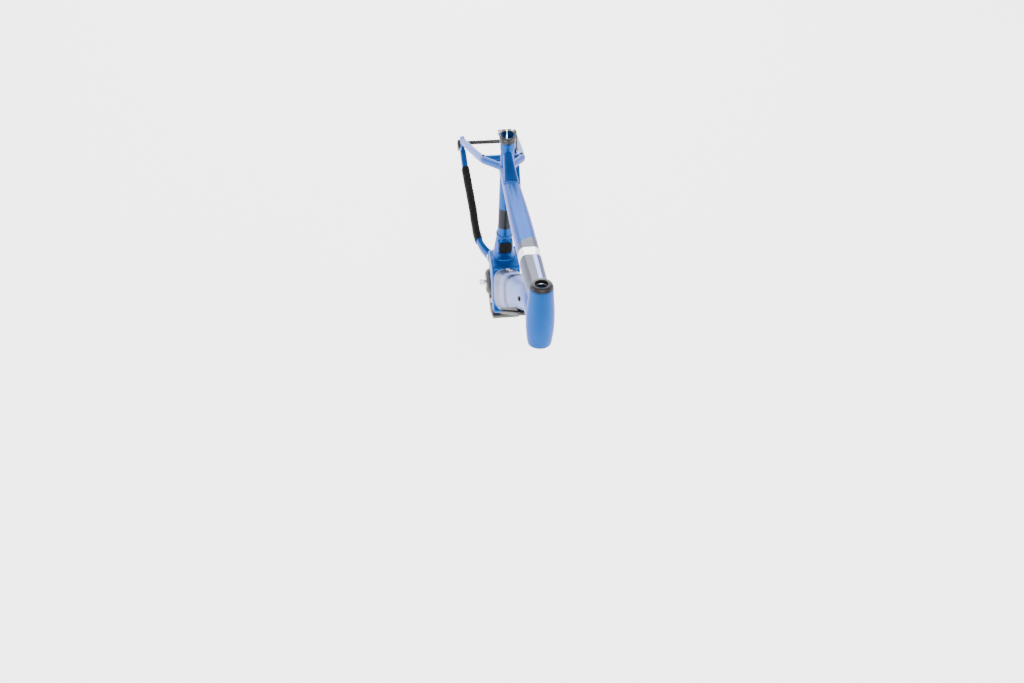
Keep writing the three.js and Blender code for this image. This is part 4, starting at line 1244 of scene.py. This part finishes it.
def make_guard():
    """The skid plate, with vent slots in its walls and ribs underneath."""
    tray = plate(widened(drive_outline, 8), BRACKET_WIDTH - 2, 0, 16, 5)
    room = plate(widened(drive_outline, 0.8), 67.6, 0, 10, 0)
    boss = rod(ACROSS * -60, ACROSS, 120, BOSS_RADIUS + 4, 96)
    edge = in_plane(168, 39).normalized()
    above = block(reach(in_plane(34, -26), (in_plane(-edge.z, edge.x), 100)), edge, 400, 200, 200)
    slots = [
        block(in_plane(x, -55), in_plane(0.32, 1).normalized(), 15, 120, 3.4, 1.5)
        for x in (4, 14, 24, 34, 44)
    ]
    grooves = [
        block(Vector((24, y, -75.2)), in_plane(1, 0), 66, 4, 3, 1.2) for y in (-24, -12, 0, 12, 24)
    ]
    mesh = cut(tray, room, boss, above, *slots, *grooves)
    add_piece("guard_tray", mesh, dark_plastic, "motor_guard")


# ------------------------------------------------------------------------ battery

LOCK_ALONG = 492
LOCK_INWARD = 29


def make_battery():
    low, high = 0.4, 58.4
    ends = (BATTERY_FOOT, BATTERY_FOOT + BATTERY_LENGTH)
    corners = [(ends[0], low), (ends[1], low), (ends[1], high), (ends[0], high)]
    outline = [by_battery(along, inward) for along, inward in corners]
    body = plate(outline, 54, 0, 6, 5)
    seam = cut(
        plate(widened(outline, 2), 60, 0, 6, 0),
        plate(widened(outline, -0.8), 52.4, 0, 6, 4),
        block(by_battery(269, 0), down_along, 500, 80, 56),
        block(by_battery(269, 60), down_along, 500, 80, 61),
    )
    pocket = block(by_battery(ends[1], LOCK_INWARD), down_along, 16, 14, 9, 0.8)
    socket = block(by_battery(ends[0], 37), down_along, 16, 24, 20, 0.8)
    mesh = cut(body, seam, pocket, socket)
    add_piece("battery_block", mesh, black_plastic, "battery_case", "battery")

    def ribbed(way, angle, out, up):
        if up > 0:
            return out, up
        ends = min(1.0, way * 12, (1 - way) * 12)
        groove = 0.9 * ends * max(0.0, math.cos(out * 0.42)) ** 8
        return out, up + groove

    sections = [
        (63, 50, 5), (66, 56, 8), (77, 62, 11), (180, 62, 11), (269, 62, 11), (380, 62, 11), (476, 60, 10),
        (490, 54, 8), (496, 48, 5),
    ]
    stations = [(by_battery(along, -0.5 - tall / 2), wide, tall, 3) for along, wide, tall in sections]
    cover = tube(stations, sides=160, steps=140, shape=ribbed)
    add_piece("battery_cover_shell", cover, dark_plastic, "battery_cover", "battery")

    pin = rod(by_battery(62, 8) + ACROSS * -28.7, ACROSS, 57.4, 4, edge=0.6)
    add_piece("battery_pin", pin, bright_steel, "battery_pivot_pin")
    plug = block(by_battery(BATTERY_FOOT - 2, 34), down_along, 16, 22, 12, 1)
    carrier = block(by_battery(BATTERY_FOOT - 14, 34), down_along, 22, 58, 30, 1.5)
    add_piece("battery_plug", joined(carrier, plug), black_plastic, "battery_connector")


def make_lock():
    housing = block(LOCK_PLACE, down_along, 26, 42, 34, 1.5)
    channel = block(by_battery(LOCK_ALONG - 2, LOCK_INWARD), down_along, 32, 10.6, 6.6)
    key_way = rod(LOCK_PLACE + ACROSS * 9, ACROSS, 40, 9.3)
    add_piece("lock_body", cut(housing, channel, key_way), black_plastic, "battery_lock_housing")
    bolt = block(by_battery(LOCK_ALONG - 6.5, LOCK_INWARD), down_along, 25, 10, 6, 0.7)
    add_piece("lock_tongue", bolt, bright_steel, "battery_lock_bolt", "lock_bolt")
    foot = LOCK_PLACE + ACROSS * 9.3
    profile = [
        (0, 0), (8.4, 0), (9, 0.6), (9, 22.8), (8.6, 23.6), (7.6, 24),
        (6.9, 24), (6.6, 23.2), (5.6, 23.2), (5.3, 24), (0, 24),
    ]
    key_slot = block(reach(foot, (ACROSS, 24)), down_along, 7, 8, 1.8)
    mesh = cut(turned(profile, foot, ACROSS, 64), key_slot)
    add_piece("lock_barrel", mesh, bright_steel, "battery_lock_cylinder", "lock_cylinder")


# ----------------------------------------------------------------- small fittings


def make_cable_ports():
    """Rubber grommets with a raised rim and a hole for the hose."""
    for side, hand in RIGHT_LEFT:
        plug = rounded_edges(port_oval(hand, 0, 26, 34.6), 0.8, math.radians(40))
        dish = port_oval(hand, -2.2, 34, 40)
        hose = rod(reach(CABLE_PORT, (ACROSS, hand * 20)), ACROSS * hand, 30, 3)
        add_piece(f"port_grommet_{side}", cut(plug, dish, hose), black_rubber, f"cable_port_{side}")


def cap_ring(shrink, level, seat, half_wide=18, half_tall=17):
    """A rounded rectangle facing forward from the seat tube."""
    ring = []
    for step in range(96):
        angle = step / 96 * 2 * math.pi
        across = (half_wide - shrink) * rounded(math.cos(angle), 2 / 4.6)
        along = (half_tall - shrink) * rounded(math.sin(angle), 2 / 4.6)
        ring.append(reach(seat, (ACROSS, across), (seat_up, along), (seat_forward, level)))
    return ring


def make_charge_port():
    seat = on_seat_tube(PORT_HEIGHT, PORT_FACE + 0.3)
    levels = [
        (2, 0), (0.5, 0.6), (0, 1.6), (0, 3.8), (0.4, 4.6), (1.4, 5.2),
        (3, 5.4), (3.6, 4.8), (4.8, 4.8), (5.6, 5.3), (9, 5.8), (14, 6),
    ]
    dome = skin([cap_ring(shrink, level, seat) for shrink, level in levels])
    ribs = [
        block(reach(seat, (seat_up, along), (seat_forward, 5.4)), seat_forward, 1.8, 18, 1.6, 0.6)
        for along in (-6, -2, 2, 6)
    ]
    tab = block(reach(seat, (seat_up, -15.4), (seat_forward, 4.2)), seat_forward, 3.4, 12, 3.2, 1.2)
    hinge = reach(on_seat_tube(PORT_HEIGHT, PORT_FACE + 1.3), (ACROSS, 18))
    knuckle = rod(reach(hinge, (seat_up, -8)), seat_up, 16, 1.2, edge=0.3)
    cap = joined(dome, *ribs, tab, knuckle)
    add_piece("charge_cap_moulding", cap, black_rubber, "charge_port_cap", "charge_cap")

    profile = [(0, 0), (13, 0), (13, 7.4), (12.4, 8), (9, 8), (8.4, 7.2), (8, 3), (0, 3)]
    socket = turned(profile, reach(SOCKET_SEAT, (seat_forward, 0.3)), seat_forward, 64)
    pins = []
    for index in range(5):
        angle = index / 5 * 2 * math.pi
        arm = (ACROSS * math.cos(angle) + seat_up * math.sin(angle)) * 4.6
        place = reach(SOCKET_SEAT + arm, (seat_forward, 2))
        pins.append(rod(place, seat_forward, 4.6, 1, 20, edge=0.3))
    add_piece("charge_socket_body", joined(socket, *pins), black_plastic, "charge_socket")


make_sleeve()
make_hanger_and_axle()
make_brake_mount()
make_screws()
make_clamp()
make_lever()
make_headset()
make_drive_unit()
make_spindle()
make_guard()
make_battery()
make_lock()
make_cable_ports()
make_charge_port()

# --------------------------------------------------------------- floor and light

FLOOR_LEVEL = -0.3115


def make_stage():
    floor_material = bpy.data.materials.new("floor_paper")
    floor_material.use_nodes = True
    shader = next(node for node in floor_material.node_tree.nodes if node.type == "BSDF_PRINCIPLED")
    shader.inputs["Base Color"].default_value = (0.86, 0.86, 0.86, 1)
    shader.inputs["Roughness"].default_value = 0.75
    shader.inputs["Emission Color"].default_value = (1.0, 1.0, 0.99, 1)
    shader.inputs["Emission Strength"].default_value = 2.6
    mesh = bpy.data.meshes.new("floor")
    half = 40
    corners = [(x * half, y * half, FLOOR_LEVEL) for x, y in ((-1, -1), (1, -1), (1, 1), (-1, 1))]
    mesh.from_pydata(corners, [], [(0, 1, 2, 3)])
    mesh.materials.append(floor_material)
    floor = bpy.data.objects.new("floor", mesh)
    bpy.context.scene.collection.objects.link(floor)


def add_softbox(name, place, target, size, power):
    data = bpy.data.lights.new(name, "AREA")
    data.shape = "RECTANGLE"
    data.size, data.size_y = size
    data.energy = power
    light = bpy.data.objects.new(name, data)
    bpy.context.scene.collection.objects.link(light)
    light.location = place
    light.rotation_mode = "QUATERNION"
    light.rotation_quaternion = (Vector(target) - Vector(place)).to_track_quat("-Z", "Y")


def make_light():
    """A white sky that is darker overhead, a bright wall behind, and softboxes."""
    world = bpy.data.worlds.new("studio")
    world.use_nodes = True
    tree = world.node_tree
    background = tree.nodes["Background"]
    direction = tree.nodes.new("ShaderNodeTexCoord")
    split = tree.nodes.new("ShaderNodeSeparateXYZ")
    tree.links.new(direction.outputs["Generated"], split.inputs["Vector"])
    height = tree.nodes.new("ShaderNodeMapRange")
    tree.links.new(split.outputs["Z"], height.inputs["Value"])
    height.inputs["From Min"].default_value = 0.15
    height.inputs["From Max"].default_value = 0.85
    height.inputs["To Min"].default_value = 1.2
    height.inputs["To Max"].default_value = 0.45
    tree.links.new(height.outputs["Result"], background.inputs["Strength"])
    background.inputs["Color"].default_value = (0.95, 0.96, 1.0, 1)
    bpy.context.scene.world = world
    middle = (0.0, 0.0, 0.3)
    add_softbox("softbox_overhead", (0.9, 0.0, 3.4), middle, (2.4, 2.4), 150)
    add_softbox("softbox_behind", (-3.2, 0.0, 1.2), middle, (3.0, 1.6), 120)
    add_softbox("softbox_left", (0.2, 3.2, 1.4), middle, (2.8, 1.6), 60)
    add_softbox("softbox_right", (0.0, -3.2, 1.4), middle, (2.8, 1.6), 60)


make_stage()
make_light()
